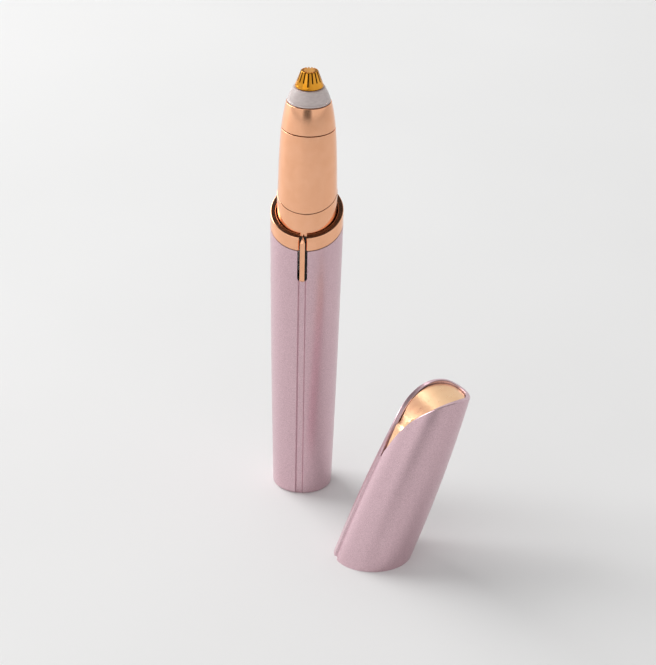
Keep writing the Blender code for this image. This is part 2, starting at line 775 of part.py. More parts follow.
def make_negative_contact():
    """A plate under the spring, its strip up the front of the trough, and a foot at the board."""
    low = negative_low
    high = low + CONTACT_THICKNESS
    plate = tube_ring("negative_contact", SHAFT_RADIUS, CONTACT_RADIUS, low, high, BRASS, SMALL_STEPS)
    outer = -cradle_radius + FIT_GAP / 2
    inner = outer + CONTACT_THICKNESS
    strip_high = bulkhead_high + CONTACT_RISE
    foot_back = -board_front - FIT_GAP
    arm_back = -SHAFT_RADIUS * 2
    arm_low = low + CONTACT_THICKNESS / 8
    arm_high = high - CONTACT_THICKNESS / 8
    outline = [
        (arm_back, arm_low),
        (arm_back, arm_high),
        (inner, arm_high),
        (inner, strip_high - CONTACT_THICKNESS),
        (foot_back, strip_high - CONTACT_THICKNESS),
        (foot_back, strip_high),
        (outer, strip_high),
        (outer, arm_low),
    ]
    join(plate, side_solid("contact_strip_tool", outline, CONTACT_STRIP_WIDTH / 2))
    return plate


def make_positive_contact():
    """A plate over the battery's nub, with a tab up through the bulkhead to the board."""
    high = positive_low + CONTACT_THICKNESS
    plate = rod("positive_contact", (0, 0, (positive_low + high) / 2), (0, 0, 1), CONTACT_RADIUS,
                CONTACT_THICKNESS, BRASS, SMALL_STEPS)
    half = CONTACT_TAB_WIDTH / 2
    front = FIT_GAP - BOARD_BACK
    back = front + CONTACT_THICKNESS
    tab_low = positive_low + CONTACT_THICKNESS / 4
    tab_high = bulkhead_high + CONTACT_RISE
    join(plate, block("contact_tab_tool", (-half, front, tab_low), (half, back, tab_high)))
    return plate


def make_battery_spring():
    low = spring_low + SPRING_WIRE_RADIUS
    high = spring_low + SPRING_LENGTH - SPRING_WIRE_RADIUS
    route = coil_route(SPRING_COIL_RADIUS, low, high, SPRING_TURNS, SPRING_POINTS_A_TURN)
    gap = (high - low) / SPRING_TURNS - SPRING_WIRE_RADIUS * 2
    print("battery spring, least gap between turns in mm:", round(gap * 1000, 2))
    return wire("battery_spring", route, SPRING_WIRE_RADIUS, STEEL, 1)


def make_board_pieces():
    """The circuit board with its slide switch, resistor and capacitor."""
    half = BOARD_WIDTH / 2
    board = block("circuit_board", (-half, -board_front, board_low), (half, -BOARD_BACK, board_high), GREEN)
    half = SWITCH_WIDTH / 2
    back = -board_front - FIT_GAP
    front = back - SWITCH_DEPTH
    low = switch_centre - SWITCH_HEIGHT / 2
    switch = block("slide_switch", (-half, front, low), (half, back, switch_high), STEEL)
    slot = KNOB_WIDTH / 2 + FIT_GAP
    reach = (BUTTON_TRAVEL + KNOB_HEIGHT) / 2 + FIT_GAP
    slot_low_corner = (-slot, front - OVERRUN, switch_centre - reach)
    slot_high_corner = (slot, front + KNOB_ROOT + FIT_GAP, switch_centre + reach)
    cut(switch, block("switch_slot_cutter", slot_low_corner, slot_high_corner))
    behind = -BOARD_BACK + FIT_GAP
    width, depth, height = RESISTOR_SIZE
    left = BOARD_WIDTH / 4 - half / 4
    resistor = block("resistor", (-left - width, behind, switch_centre - height),
                     (-left, behind + depth, switch_centre), BLACK)
    centre = (left + CAPACITOR_RADIUS, behind + CAPACITOR_HEIGHT / 2, switch_centre - CAPACITOR_RADIUS)
    capacitor = rod("capacitor", centre, (0, 1, 0), CAPACITOR_RADIUS, CAPACITOR_HEIGHT, CELL, TINY_STEPS)
    return board, switch, resistor, capacitor


def make_switch_body():
    """What slides with the thumb: the gold button strip, its carriage and the switch's knob."""
    face = -barrel_top_radius - BUTTON_PROUD
    back = face + BUTTON_DEPTH
    half = BUTTON_WIDTH / 2
    outline = [
        (face, button_low),
        (back, button_low),
        (back, button_high),
        (face + BUTTON_BEVEL * 2, button_high),
        (face, button_high - BUTTON_POINT),
    ]
    button = side_solid("switch_button", outline, half, ROSE_GOLD)
    bevel = button.modifiers.new("edges", "BEVEL")
    bevel.width = BUTTON_BEVEL
    bevel.segments = 2
    bevel.limit_method = "ANGLE"
    carriage_front = -collar_bore + SLIDE_GAP + FIT_GAP
    carriage_back = carriage_front + CARRIAGE_THICKNESS
    stem = BUTTON_STEM_WIDTH / 2
    stem_low = knob_rest - BUTTON_STEM_HEIGHT / 2
    stem_high = knob_rest + BUTTON_STEM_HEIGHT / 2
    stem_back = carriage_back - FIT_GAP
    join(button, block("stem_tool", (-stem, back - BUTTON_BEVEL, stem_low), (stem, stem_back, stem_high)))

    half = CARRIAGE_WIDTH / 2
    low = carriage_low()
    carriage = block("switch_carriage", (-half, carriage_front, low),
                     (half, carriage_back, low + CARRIAGE_HEIGHT), BLACK)
    socket = stem + FIT_GAP
    cut(carriage, block("socket_cutter", (-socket, carriage_front - OVERRUN, stem_low - FIT_GAP),
                        (socket, carriage_back + OVERRUN, stem_high + FIT_GAP)))
    knob_front = -board_front - FIT_GAP - SWITCH_DEPTH - KNOB_REACH
    jaw_back = knob_front + KNOB_REACH - FIT_GAP
    jaw = CARRIAGE_JAW_WIDTH / 2
    inner = KNOB_HEIGHT / 2 + FIT_GAP
    outer = BUTTON_STEM_HEIGHT / 2 + FIT_GAP + CARRIAGE_JAW_HEIGHT
    jaw_front = carriage_back - FIT_GAP
    for side, name in ((1, "upper_jaw_tool"), (-1, "lower_jaw_tool")):
        ends = sorted((knob_rest + side * inner, knob_rest + side * outer))
        join(carriage, block(name, (-jaw, jaw_front, ends[0]), (jaw, jaw_back, ends[1])))

    half = KNOB_WIDTH / 2
    root = -board_front - FIT_GAP - SWITCH_DEPTH + KNOB_ROOT
    knob = block("switch_knob", (-half, knob_front, knob_rest - KNOB_HEIGHT / 2),
                 (half, root, knob_rest + KNOB_HEIGHT / 2), WHITE)
    return button, carriage, knob


def make_motor():
    """The motor's still pieces: can, magnet, end cap and two terminals."""
    can_bore = MOTOR_RADIUS - MOTOR_WALL
    boss_high = can_high + MOTOR_BOSS_HEIGHT
    corners = [
        (MOTOR_BOSS_RADIUS, boss_high),
        (MOTOR_BOSS_RADIUS, can_high),
        (MOTOR_RADIUS, can_high),
        (MOTOR_RADIUS, can_low),
        (can_bore, can_low),
        (can_bore, can_high - MOTOR_WALL),
        (bush_bore, can_high - MOTOR_WALL),
        (bush_bore, boss_high),
    ]
    can = turned("motor_can", rounded(corners, {2: MOTOR_EDGE}), STEEL, MIDDLE_STEPS, True)
    magnet_low = can_low + (MOTOR_LENGTH - MAGNET_LENGTH) / 2
    magnet_outer = can_bore - FIT_GAP
    magnet = tube_ring("motor_magnet", magnet_outer - MAGNET_THICKNESS, magnet_outer, magnet_low,
                       magnet_low + MAGNET_LENGTH, BLACK, SMALL_STEPS)
    plug = can_bore - FIT_GAP
    seat = can_low - FIT_GAP
    corners = [
        (0, seat + END_CAP_PLUG),
        (plug, seat + END_CAP_PLUG),
        (plug, seat),
        (MOTOR_RADIUS, seat),
        (MOTOR_RADIUS, end_cap_low),
        (0, end_cap_low),
    ]
    end_cap = turned("motor_end_cap", corners, WHITE, SMALL_STEPS)
    terminals = []
    for side, name in ((-1, "motor_terminal_left"), (1, "motor_terminal_right")):
        middle = side * TERMINAL_OFFSET
        high = end_cap_low - FIT_GAP
        low = (middle - TERMINAL_WIDTH / 2, -TERMINAL_THICKNESS / 2, high - TERMINAL_LENGTH)
        terminals.append(block(name, low, (middle + TERMINAL_WIDTH / 2, TERMINAL_THICKNESS / 2, high), BRASS))
    return can, magnet, end_cap, *terminals


def make_rotor():
    """What the motor turns: shaft, armature and drive coupler."""
    shaft_low = can_low + END_CAP_PLUG
    shaft_high = coupler_high - COUPLER_SLOT_DEPTH - FIT_GAP * 2
    length = shaft_high - shaft_low
    shaft = rod("motor_shaft", (0, 0, shaft_low + length / 2), (0, 0, 1), SHAFT_RADIUS, length, STEEL)
    magnet_bore = MOTOR_RADIUS - MOTOR_WALL - FIT_GAP - MAGNET_THICKNESS
    radius = magnet_bore - SLIDE_GAP
    low = can_low + (MOTOR_LENGTH - ARMATURE_LENGTH) / 2
    high = low + ARMATURE_LENGTH
    armature = tube_ring("motor_armature", bush_bore, radius, low, high, COPPER, SMALL_STEPS)
    for i in range(ARMATURE_POLES):
        half = ARMATURE_SLOT_WIDTH / 2
        corner = (radius - ARMATURE_SLOT_DEPTH, -half, low - OVERRUN)
        tool = block("armature_slot_cutter_%d" % i, corner, (radius + OVERRUN, half, high + OVERRUN))
        tool.data.transform(Matrix.Rotation(2 * math.pi * i / ARMATURE_POLES, 4, "Z"))
        cut(armature, tool)
    seat_high = shaft_high + FIT_GAP
    corners = [
        (0, coupler_high),
        (COUPLER_RADIUS, coupler_high),
        (COUPLER_RADIUS, coupler_low),
        (bush_bore, coupler_low),
        (bush_bore, seat_high),
        (0, seat_high),
    ]
    coupler = turned("drive_coupler", corners, WHITE, SMALL_STEPS)
    half = COUPLER_TONGUE_WIDTH / 2 + FIT_GAP
    side = COUPLER_RADIUS + OVERRUN
    slot_corner = (-half, -side, coupler_high - COUPLER_SLOT_DEPTH)
    cut(coupler, block("coupler_slot_cutter", slot_corner, (half, side, coupler_high + OVERRUN)))
    return shaft, armature, coupler


def make_holder():
    """The motor holder with its nozzle, the rubber sleeve and the shaft bush."""
    boss_hole = MOTOR_BOSS_RADIUS + FIT_GAP
    nozzle_radius = nozzle_bore + NOZZLE_WALL
    bush_low = nozzle_high - BUSH_LENGTH - FIT_GAP
    corners = [
        (nozzle_radius, nozzle_high),
        (nozzle_radius, holder_top_high),
        (holder_radius, holder_top_high),
        (holder_radius, holder_low),
        (holder_bore, holder_low),
        (holder_bore, holder_top_low),
        (boss_hole, holder_top_low),
        (boss_hole, can_high + MOTOR_BOSS_HEIGHT + FIT_GAP),
        (bush_bore, can_high + MOTOR_BOSS_HEIGHT + FIT_GAP),
        (bush_bore, bush_low - FIT_GAP),
        (nozzle_bore, bush_low - FIT_GAP),
        (nozzle_bore, nozzle_high),
    ]
    holder = turned("motor_holder", corners, BLACK, MIDDLE_STEPS, True)
    half = WIRE_NOTCH_HALF_WIDTH
    notch = (-half, holder_bore - FIT_GAP, holder_low - OVERRUN)
    cut(holder, block("wire_notch_cutter", notch, (half, holder_radius + OVERRUN, holder_top_high + OVERRUN)))
    low = can_low + SLEEVE_SETBACK
    high = can_high - SLEEVE_SETBACK
    sleeve = tube_ring("motor_sleeve", sleeve_bore, sleeve_bore + SLEEVE_THICKNESS, low, high, RUBBER)
    bush_high = bush_low + BUSH_LENGTH
    bush = tube_ring("shaft_bush", bush_bore, bush_radius, bush_low, bush_high, BRASS, SMALL_STEPS)
    return holder, sleeve, bush


def make_neck():
    """The gold skirt under the slanted seam and the neck shell above it, with its top rim."""
    bore = neck_radius - NECK_WALL
    seat = lower_seam - FIT_GAP / 2
    corners = [
        (neck_radius, seat),
        (neck_radius, skirt_low),
        (bore, skirt_low),
        (bore, seat),
    ]
    turning = turned("skirt_turning", rounded(corners, {0: SEAM_EDGE}), None, LARGE_STEPS, True)
    skirt = slanted(turning, "neck_skirt", ROSE_GOLD)

    low = lower_seam - neck_radius * slope - OVERRUN
    rim_high = upper_seam + NECK_RIM_HEIGHT
    rim_bore = neck_rim_radius - NECK_RIM_WALL
    groove_low = upper_seam + (NECK_RIM_HEIGHT - SNAP_RING_HEIGHT) / 2
    groove = neck_rim_radius - SNAP_RING_GROOVE
    hole = nozzle_bore + NOZZLE_WALL
    profile = [
        (neck_rim_radius, rim_high),
        (neck_rim_radius, groove_low + SNAP_RING_HEIGHT),
        (groove, groove_low + SNAP_RING_HEIGHT),
        (groove, groove_low),
        (neck_rim_radius, groove_low),
        (neck_rim_radius, upper_seam),
        (head_radius(upper_seam) - SEAM_EDGE, upper_seam),
    ]
    for height in reversed(spread(low, upper_seam - SEAM_EDGE, PROFILE_PIECES)):
        profile.append((head_radius(height), height))
    for height in spread(low, neck_plate_low, PROFILE_PIECES // 2):
        profile.append((head_radius(height) - NECK_WALL, height))
    profile += [(hole, neck_plate_low), (hole, upper_seam), (rim_bore, upper_seam), (rim_bore, rim_high)]
    neck = turned("neck_shell", profile, ROSE_GOLD, LARGE_STEPS, True)
    cut(neck, slanted_space("neck_bottom_cutter", lower_seam + FIT_GAP / 2, False))
    for side, name in ((-1, "left"), (1, "right")):
        centre = (side * WIRE_SPREAD, wire_hole_back(), upper_seam)
        hole_radius = WIRE_RADIUS + FIT_GAP / 2
        cut(neck, rod(name + "_wire_hole_cutter", centre, (0, 0, 1), hole_radius, NECK_PLATE * 4))

    ring_low = groove_low + FIT_GAP / 4
    ring_high = groove_low + SNAP_RING_HEIGHT - FIT_GAP / 4
    ring = tube_ring("head_snap_ring", groove + FIT_GAP / 4, neck_rim_radius + FIT_GAP / 4,
                     ring_low, ring_high, STEEL, LARGE_STEPS)
    return skirt, neck, ring


def wire_hole_back():
    """How far back the light wires come up through the neck's plate."""
    return (LIGHT_BOARD_HOLE + neck_rim_radius - NECK_RIM_WALL) / 2


def make_lights():
    """The light board on the neck's plate and its two lights."""
    outer = neck_rim_radius - NECK_RIM_WALL - FIT_GAP
    board = tube_ring("light_board", LIGHT_BOARD_HOLE, outer, light_board_low, light_board_high,
                      WHITE, SMALL_STEPS)
    lights = []
    width, depth, height = LIGHT_SIZE
    low = light_board_high + FIT_GAP
    for side, name in ((-1, "light_left"), (1, "light_right")):
        middle = side * LIGHT_OFFSET
        corner = (middle - width / 2, -depth / 2, low)
        lights.append(block(name, corner, (middle + width / 2, depth / 2, low + height), WHITE))
    return board, *lights


def make_wires():
    """Two wires to the motor and two to the light board."""
    made = []
    start_height = board_high - WIRE_RADIUS * 2
    back = -BOARD_BACK + FIT_GAP
    for side, name in ((-1, "left"), (1, "right")):
        start = (side * TERMINAL_OFFSET, back, start_height - SWITCH_WIDTH / 2)
        end = (side * TERMINAL_OFFSET, 0, end_cap_low - TERMINAL_LENGTH - FIT_GAP * 2)
        leave = (0, MOTOR_ROOM / 2, 0)
        arrive = (0, 0, MOTOR_ROOM / 2)
        route = curved_route(start, leave, end, arrive, WIRE_POINTS)
        made.append(wire("motor_wire_" + name, route, WIRE_RADIUS, RED if side > 0 else BLACK))
    notch_back = (holder_bore + holder_radius) / 2
    for side, name in ((-1, "left"), (1, "right")):
        start = Vector((side * WIRE_SPREAD, back, start_height))
        foot = Vector((side * WIRE_SPREAD, notch_back, holder_low + MOTOR_ROOM / 2))
        turn_height = holder_top_high + FIT_GAP
        top = Vector((side * WIRE_SPREAD, notch_back, turn_height))
        end = Vector((side * WIRE_SPREAD, wire_hole_back(), light_board_low - FIT_GAP / 2))
        reach = foot.y - start.y
        route = curved_route(start, (0, reach / 2, 0), foot, (0, 0, MOTOR_ROOM / 2), WIRE_POINTS)
        route += curved_route(top, (0, 0, NOZZLE_HEIGHT / 2), end, (0, 0, NOZZLE_HEIGHT / 2), WIRE_POINTS)
        made.append(wire("light_wire_" + name, route, WIRE_RADIUS, RED if side > 0 else BLACK))
    return made


def make_head():
    """The head's still pieces: gold ring, clear light ring, carrier, bush and slotted guard."""
    profile = [(head_radius(head_top) - SEAM_EDGE, head_top)]
    for height in reversed(spread(head_ring_low + SEAM_EDGE, head_top - SEAM_EDGE, PROFILE_PIECES)):
        profile.append((head_radius(height), height))
    profile.append((head_radius(head_ring_low) - SEAM_EDGE, head_ring_low))
    for height in spread(head_ring_low, head_top, PROFILE_PIECES // 2):
        profile.append((head_radius(height) - NECK_WALL, height))
    ring = turned("head_ring", profile, ROSE_GOLD, LARGE_STEPS, True)

    collar = head_radius(head_top) - NECK_WALL - FIT_GAP
    low = head_top + FIT_GAP
    base_radius = head_radius(head_top) - FIT_GAP
    rim_low = light_top - LIGHT_RING_EDGE
    rim = rounded([(LIGHT_BORE_RADIUS, light_top), (LIGHT_RING_TOP_RADIUS, light_top),
                   (LIGHT_RING_TOP_RADIUS, rim_low)], {1: LIGHT_RING_EDGE})
    profile = rim
    for share in reversed(spread(0, 1, PROFILE_PIECES // 2)[:-1]):
        height = low + (rim_low - low) * share
        radius = base_radius + (LIGHT_RING_TOP_RADIUS - base_radius) * share
        profile.append((radius + LIGHT_RING_BULGE * 4 * share * (1 - share), height))
    profile += [(collar, low), (collar, light_ring_low), (LIGHT_BORE_RADIUS, light_ring_low)]
    light_ring = turned("light_ring", profile, CLEAR, MIDDLE_STEPS, True)

    carrier_radius = LIGHT_BORE_RADIUS - FIT_GAP
    carrier_high = light_ring_low + CARRIER_HEIGHT
    carrier = tube_ring("head_carrier", nozzle_bore, carrier_radius, light_ring_low, carrier_high,
                        WHITE, SMALL_STEPS)
    bush = tube_ring("cutter_bush", bush_bore, bush_radius, light_ring_low, carrier_high, BRASS, SMALL_STEPS)

    skirt_radius = LIGHT_BORE_RADIUS - FIT_GAP
    skirt_bore = skirt_radius - GUARD_WALL
    ring_low = light_top + FIT_GAP
    ring_high = ring_low + GUARD_RING_HEIGHT
    corners = [
        (0, tip_top),
        (GUARD_TOP_RADIUS, tip_top),
        (GUARD_CONE_RADIUS, ring_high),
        (GUARD_RING_RADIUS, ring_high),
        (GUARD_RING_RADIUS, ring_low),
        (skirt_radius, ring_low),
        (skirt_radius, carrier_high + FIT_GAP),
        (skirt_bore, carrier_high + FIT_GAP),
        (skirt_bore, ring_low),
        (GUARD_TOP_RADIUS - GUARD_WALL, tip_top - GUARD_WALL),
        (0, tip_top - GUARD_WALL),
    ]
    profile = rounded(corners, {1: GUARD_TOP_EDGE, 3: GUARD_TOP_EDGE})
    guard = turned("cutter_guard", profile, DEEP_GOLD, MIDDLE_STEPS)
    drops = [GUARD_LONG_SLOT_DROP] + [GUARD_SLOT_DROP] * (GUARD_SLOTS - 1)
    reach = GUARD_RING_RADIUS + OVERRUN
    cut(guard, radial_slots("guard_slot_cutter", drops, GUARD_SLOT_WIDTH, GUARD_HUB_RADIUS, reach, tip_top))
    return ring, light_ring, carrier, bush, guard


def radial_slots(name, drops, width, inner, outer, top):
    """One cutter of thin blades round the axis, the first to the front, each with its own drop."""
    mesh = bpy.data.meshes.new(name)
    shape = bmesh.new()
    for i, drop in enumerate(drops):
        made = bmesh.ops.create_cube(shape, size=1)["verts"]
        size = Vector((outer - inner, width, drop + OVERRUN))
        bmesh.ops.scale(shape, vec=size, verts=made)
        bmesh.ops.translate(shape, vec=((inner + outer) / 2, 0, top + OVERRUN - size.z / 2), verts=made)
        angle = 2 * math.pi * i / len(drops) - math.pi / 2
        bmesh.ops.rotate(shape, cent=(0, 0, 0), matrix=Matrix.Rotation(angle, 3, "Z"), verts=made)
    shape.to_mesh(mesh)
    shape.free()
    return add_object(name, mesh)


def make_cutter():
    """What spins in the head: cutter, spindle, spring and driven coupler."""
    skirt_bore = LIGHT_BORE_RADIUS - FIT_GAP - GUARD_WALL
    base_radius = skirt_bore - CUTTER_GAP
    top_radius = GUARD_TOP_RADIUS - GUARD_WALL - CUTTER_GAP
    top = tip_top - GUARD_WALL - CUTTER_GAP
    turn_height = light_top
    base = turn_height - CUTTER_BASE_HEIGHT
    seat = top - CUTTER_SLOT_DROP / 4
    corners = [
        (0, top),
        (top_radius, top),
        (base_radius, turn_height),
        (base_radius, base),
        (bush_bore, base),
        (bush_bore, seat),
        (0, seat),
    ]
    cutter = turned("rotary_cutter", rounded(corners, {1: GUARD_TOP_EDGE}), STEEL, SMALL_STEPS)
    drops = [CUTTER_SLOT_DROP] * CUTTER_BLADES
    reach = GUARD_RING_RADIUS + OVERRUN
    cut(cutter, radial_slots("blade_cutter", drops, CUTTER_SLOT_WIDTH, CUTTER_HUB_RADIUS, reach, top))

    driven_low = coupler_high + COUPLER_LIFT
    driven_high = driven_low + DRIVEN_HEIGHT
    seat_low = driven_high - SPINDLE_SEAT_DEPTH
    corners = [
        (COUPLER_RADIUS, driven_high),
        (COUPLER_RADIUS, driven_low),
        (0, driven_low),
    ]
    inner = [(0, seat_low), (bush_bore, seat_low), (bush_bore, driven_high)]
    driven = turned("driven_coupler", inner + corners, WHITE, SMALL_STEPS)
    half = COUPLER_TONGUE_WIDTH / 2
    reach = COUPLER_TONGUE_LENGTH / 2
    tongue_low = coupler_high - COUPLER_SLOT_DEPTH + FIT_GAP
    tongue = block("tongue_tool", (-half, -reach, tongue_low), (half, reach, seat_low - FIT_GAP))
    join(driven, tongue)

    spindle_low = seat_low + FIT_GAP
    spindle_high = seat - FIT_GAP
    length = spindle_high - spindle_low
    spindle = rod("cutter_spindle", (0, 0, spindle_low + length / 2), (0, 0, 1), SHAFT_RADIUS, length, STEEL)

    carrier_high = light_ring_low + CARRIER_HEIGHT
    low = carrier_high + FIT_GAP + CUTTER_SPRING_WIRE_RADIUS
    high = base - FIT_GAP - CUTTER_SPRING_WIRE_RADIUS
    route = coil_route(CUTTER_SPRING_COIL_RADIUS, low, high, CUTTER_SPRING_TURNS, SPRING_POINTS_A_TURN)
    gap = (high - low) / CUTTER_SPRING_TURNS - CUTTER_SPRING_WIRE_RADIUS * 2
    print("cutter spring, least gap between turns in mm:", round(gap * 1000, 2))
    spring = wire("cutter_spring", route, CUTTER_SPRING_WIRE_RADIUS, STEEL, 1)
    return cutter, driven, spindle, spring


def scoop_edge(margin=0):
    """Half of the opening's edge as (turn, height), front to back, moved into the opening."""
    radius = cap_radius(scoop_low)
    half = CAP_SLIT_WIDTH / 2 - margin
    edge = []
    for angle in spread(0, math.pi / 2, SLIT_PIECES):
        height = scoop_low + margin + half * (1 - math.cos(angle))
        edge.append((half * math.sin(angle) / radius, height))
    slit_share = CAP_SLIT_LENGTH / CAP_SCOOP_HEIGHT
    first_share = math.sqrt(math.asin(slit_share * slit_share) * 2 / math.pi)
    for share in spread(first_share, 1, SCOOP_PIECES):
        climb = CAP_SCOOP_HEIGHT * math.sqrt(math.sin(math.pi / 2 * share * share))
        widening = CAP_SLIT_SPREAD * (1 - math.exp(-(climb / CAP_SLIT_RISE) ** 2))
        turn = CAP_SCOOP_TURN * share * share + widening
        edge.append((turn - margin / radius, scoop_low + climb))
    for turn in spread(edge[-1][0], math.pi, BACK_PIECES)[1:]:
        edge.append((turn, CAP_LENGTH))
    return edge


def scoop_space(name, margin):
    """A ring-shaped cutter over the scooped opening, with the opening's edge as its lower rim."""
    edge = scoop_edge(margin)
    last = len(edge) - 1
    bore = cap_radius(CAP_LENGTH) - CAP_WALL * 2
    top = CAP_LENGTH + OVERRUN * 2
    ring = tube_ring(name + "_ring", bore, barrel_top_radius + OVERRUN, 0, top, None, last * 2)
    tool = plain_mesh(ring, name)
    for vertex in tool.data.vertices:
        x, y, z = vertex.co
        radius = math.hypot(x, y)
        turn, height = edge[round(abs(math.atan2(x, -y)) / math.pi * last)]
        vertex.co.x = math.copysign(radius * math.sin(turn), x)
        vertex.co.y = -radius * math.cos(turn)
        if z < top / 2:
            vertex.co.z = height
    return tool


def scoop_outline(setback):
    """Side outline (y, z) of what lies open over the insert, set back from the opening's edge."""
    outline = []
    for turn, height in scoop_edge():
        outline.append((setback - cap_radius(height) * math.cos(turn), height - setback))
    outside = barrel_top_radius + OVERRUN
    top = CAP_LENGTH + OVERRUN * 2
    return outline + [(outside, outline[-1][1]), (outside, top), (-outside, top), (-outside, outline[0][1])]


def cap_wall_profile(low, high, inset, pieces):
    """Points of the cap's surface, inset by some depth, from low to high."""
    return [(cap_radius(height) - inset, height) for height in spread(low, high, pieces)]


def make_cap():
    """The cap in its own frame, with Z its axis, the middle of its mouth the origin and -Y the front.

    Its opening and groove are turned a little from the lowest point of the mouth, as in the photo.
    """
    low = -barrel_top_radius * slope - OVERRUN
    high = CAP_LENGTH + OVERRUN
    inner = cap_wall_profile(low, CAP_RIB_FIRST, CAP_WALL, 1)
    for i in range(CAP_RIBS):
        middle = CAP_RIB_FIRST + CAP_RIB_PITCH * i
        for offset, rise in ((-CAP_RIB_WIDTH / 2, 0), (0, CAP_RIB_HEIGHT), (CAP_RIB_WIDTH / 2, 0)):
            height = middle + offset
            if height > inner[-1][1]:
                inner.append((cap_radius(height) - CAP_WALL - rise, height))
    inner += cap_wall_profile(inner[-1][1] + CAP_RIB_WIDTH, high, CAP_WALL, PROFILE_PIECES // 2)
    outer = cap_wall_profile(low, high, 0, PROFILE_PIECES)
    shell = turned("cap_shell", inner + list(reversed(outer)), LILAC, LARGE_STEPS, True)
    tools = [slanted_space("cap_mouth_cutter", 0, False), scoop_space("cap_scoop_cutter", 0)]
    outer_y = -barrel_top_radius - OVERRUN
    edge = []
    for height in spread(low - OVERRUN, scoop_low + CAP_SLIT_WIDTH / 2, PROFILE_PIECES):
        edge.append((CHANNEL_DEPTH - cap_radius(height), height))
    outline = edge + [(outer_y, edge[-1][1]), (outer_y, edge[0][1])]
    tools.append(side_solid("cap_channel_cutter", outline, CHANNEL_WIDTH / 2))
    cut(shell, *tools)

    depth = CAP_WALL + FIT_GAP
    insert_low = scoop_low - CAP_INSERT_DROP
    outer = cap_wall_profile(insert_low, high, depth, PROFILE_PIECES)
    roof = CAP_INSERT_WALL + CAP_INSERT_SETBACK
    solid = [(0, high)] + list(reversed(outer)) + [(0, insert_low)]
    insert = turned("cap_insert", solid, ROSE_GOLD, MIDDLE_STEPS)
    tongue_high = scoop_low + CAP_TONGUE_HEIGHT
    fade_high = tongue_high + CAP_TONGUE_FADE
    face = cap_wall_profile(insert_low, tongue_high, CAP_INSERT_SETBACK / 2, PROFILE_PIECES // 2)
    face.append((cap_radius(fade_high) - depth - CAP_INSERT_WALL / 2, fade_high))
    tongue = turned("insert_tongue_tool", [(0, fade_high)] + list(reversed(face)) + [(0, insert_low)],
                    None, MIDDLE_STEPS)
    tongue_space = scoop_space("insert_tongue_space", FIT_GAP)
    combine(tongue, tongue_space, "INTERSECT")
    join(insert, tongue)
    outside = side_solid("insert_scoop_cutter", scoop_outline(CAP_INSERT_SETBACK),
                         barrel_top_radius + OVERRUN)
    cut(insert, outside)
    hollow_wall = cap_wall_profile(insert_low - OVERRUN, high, depth + CAP_INSERT_WALL, PROFILE_PIECES)
    hollow_outline = [(0, high)] + list(reversed(hollow_wall)) + [(0, insert_low - OVERRUN)]
    hollow = turned("insert_hollow_cutter", hollow_outline, None, MIDDLE_STEPS)
    roof_tool = side_solid("insert_roof_cutter", scoop_outline(roof), barrel_top_radius + OVERRUN * 2)
    cut(hollow, roof_tool)
    cut(insert, hollow)
    tools += [tongue, tongue_space, outside, hollow, roof_tool]
    front = Matrix.Rotation(CAP_FRONT_TURN, 4, "Z")
    bpy.context.view_layer.update()
    for thing in [insert] + tools[1:]:
        thing.matrix_world = front @ thing.matrix_world
    return [shell, insert], tools


def assemble():
    barrel_body = [make_barrel(), make_collar()]
    chassis_body = [make_chassis(), make_cover(), make_cover_screw(), make_battery()]
    chassis_body += [make_negative_contact(), make_positive_contact(), make_battery_spring()]
    chassis_body += [*make_board_pieces(), *make_motor(), *make_holder(), *make_neck()]
    chassis_body += [*make_lights(), *make_wires()]
    carry(body_frame("barrel_frame"), *barrel_body)
    chassis_frame = body_frame("chassis_frame", (0, 0, cradle_low))
    carry(chassis_frame, *chassis_body)
    switch_frame = body_frame("switch_frame", (0, -barrel_top_radius, knob_rest))
    carry(switch_frame, *make_switch_body())
    rotor_frame = body_frame("rotor_frame", (0, 0, can_low))
    carry(rotor_frame, *make_rotor())
    head_frame = body_frame("head_frame", (0, 0, upper_seam))
    carry(head_frame, *make_head())
    cutter_frame = body_frame("cutter_frame", (0, 0, light_top))
    carry(cutter_frame, *make_cutter())
    carry(chassis_frame, switch_frame, rotor_frame, head_frame)
    carry(head_frame, cutter_frame)
    lean = Matrix.Rotation(CAP_LEAN_DIRECTION - math.pi / 2, 4, "Z") @ Matrix.Rotation(-SLANT, 4, "X")
    cap_frame = body_frame("cap_frame", (CAP_STAND_X, CAP_STAND_Y, 0), lean)
    pieces, tools = make_cap()
    for thing in pieces + tools:
        thing.matrix_world = lean_place(cap_frame, thing)
        thing.parent = cap_frame
        thing.matrix_parent_inverse = cap_frame.matrix_world.inverted()


def lean_place(frame, thing):
    """Where a piece modelled in the cap's own frame stands in the room."""
    bpy.context.view_layer.update()
    return frame.matrix_world @ thing.matrix_world


assemble()
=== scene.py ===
"""Looks of the electric eyebrow trimmer with its cap off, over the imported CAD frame.

Everything is in metres in the frame of the part: the trimmer stands on the origin along +Z, with
its switch to the front (-Y). The cap stands beside it on its slanted mouth.
"""

import json
import math

import bmesh
import bpy
from mathutils import Matrix, Vector


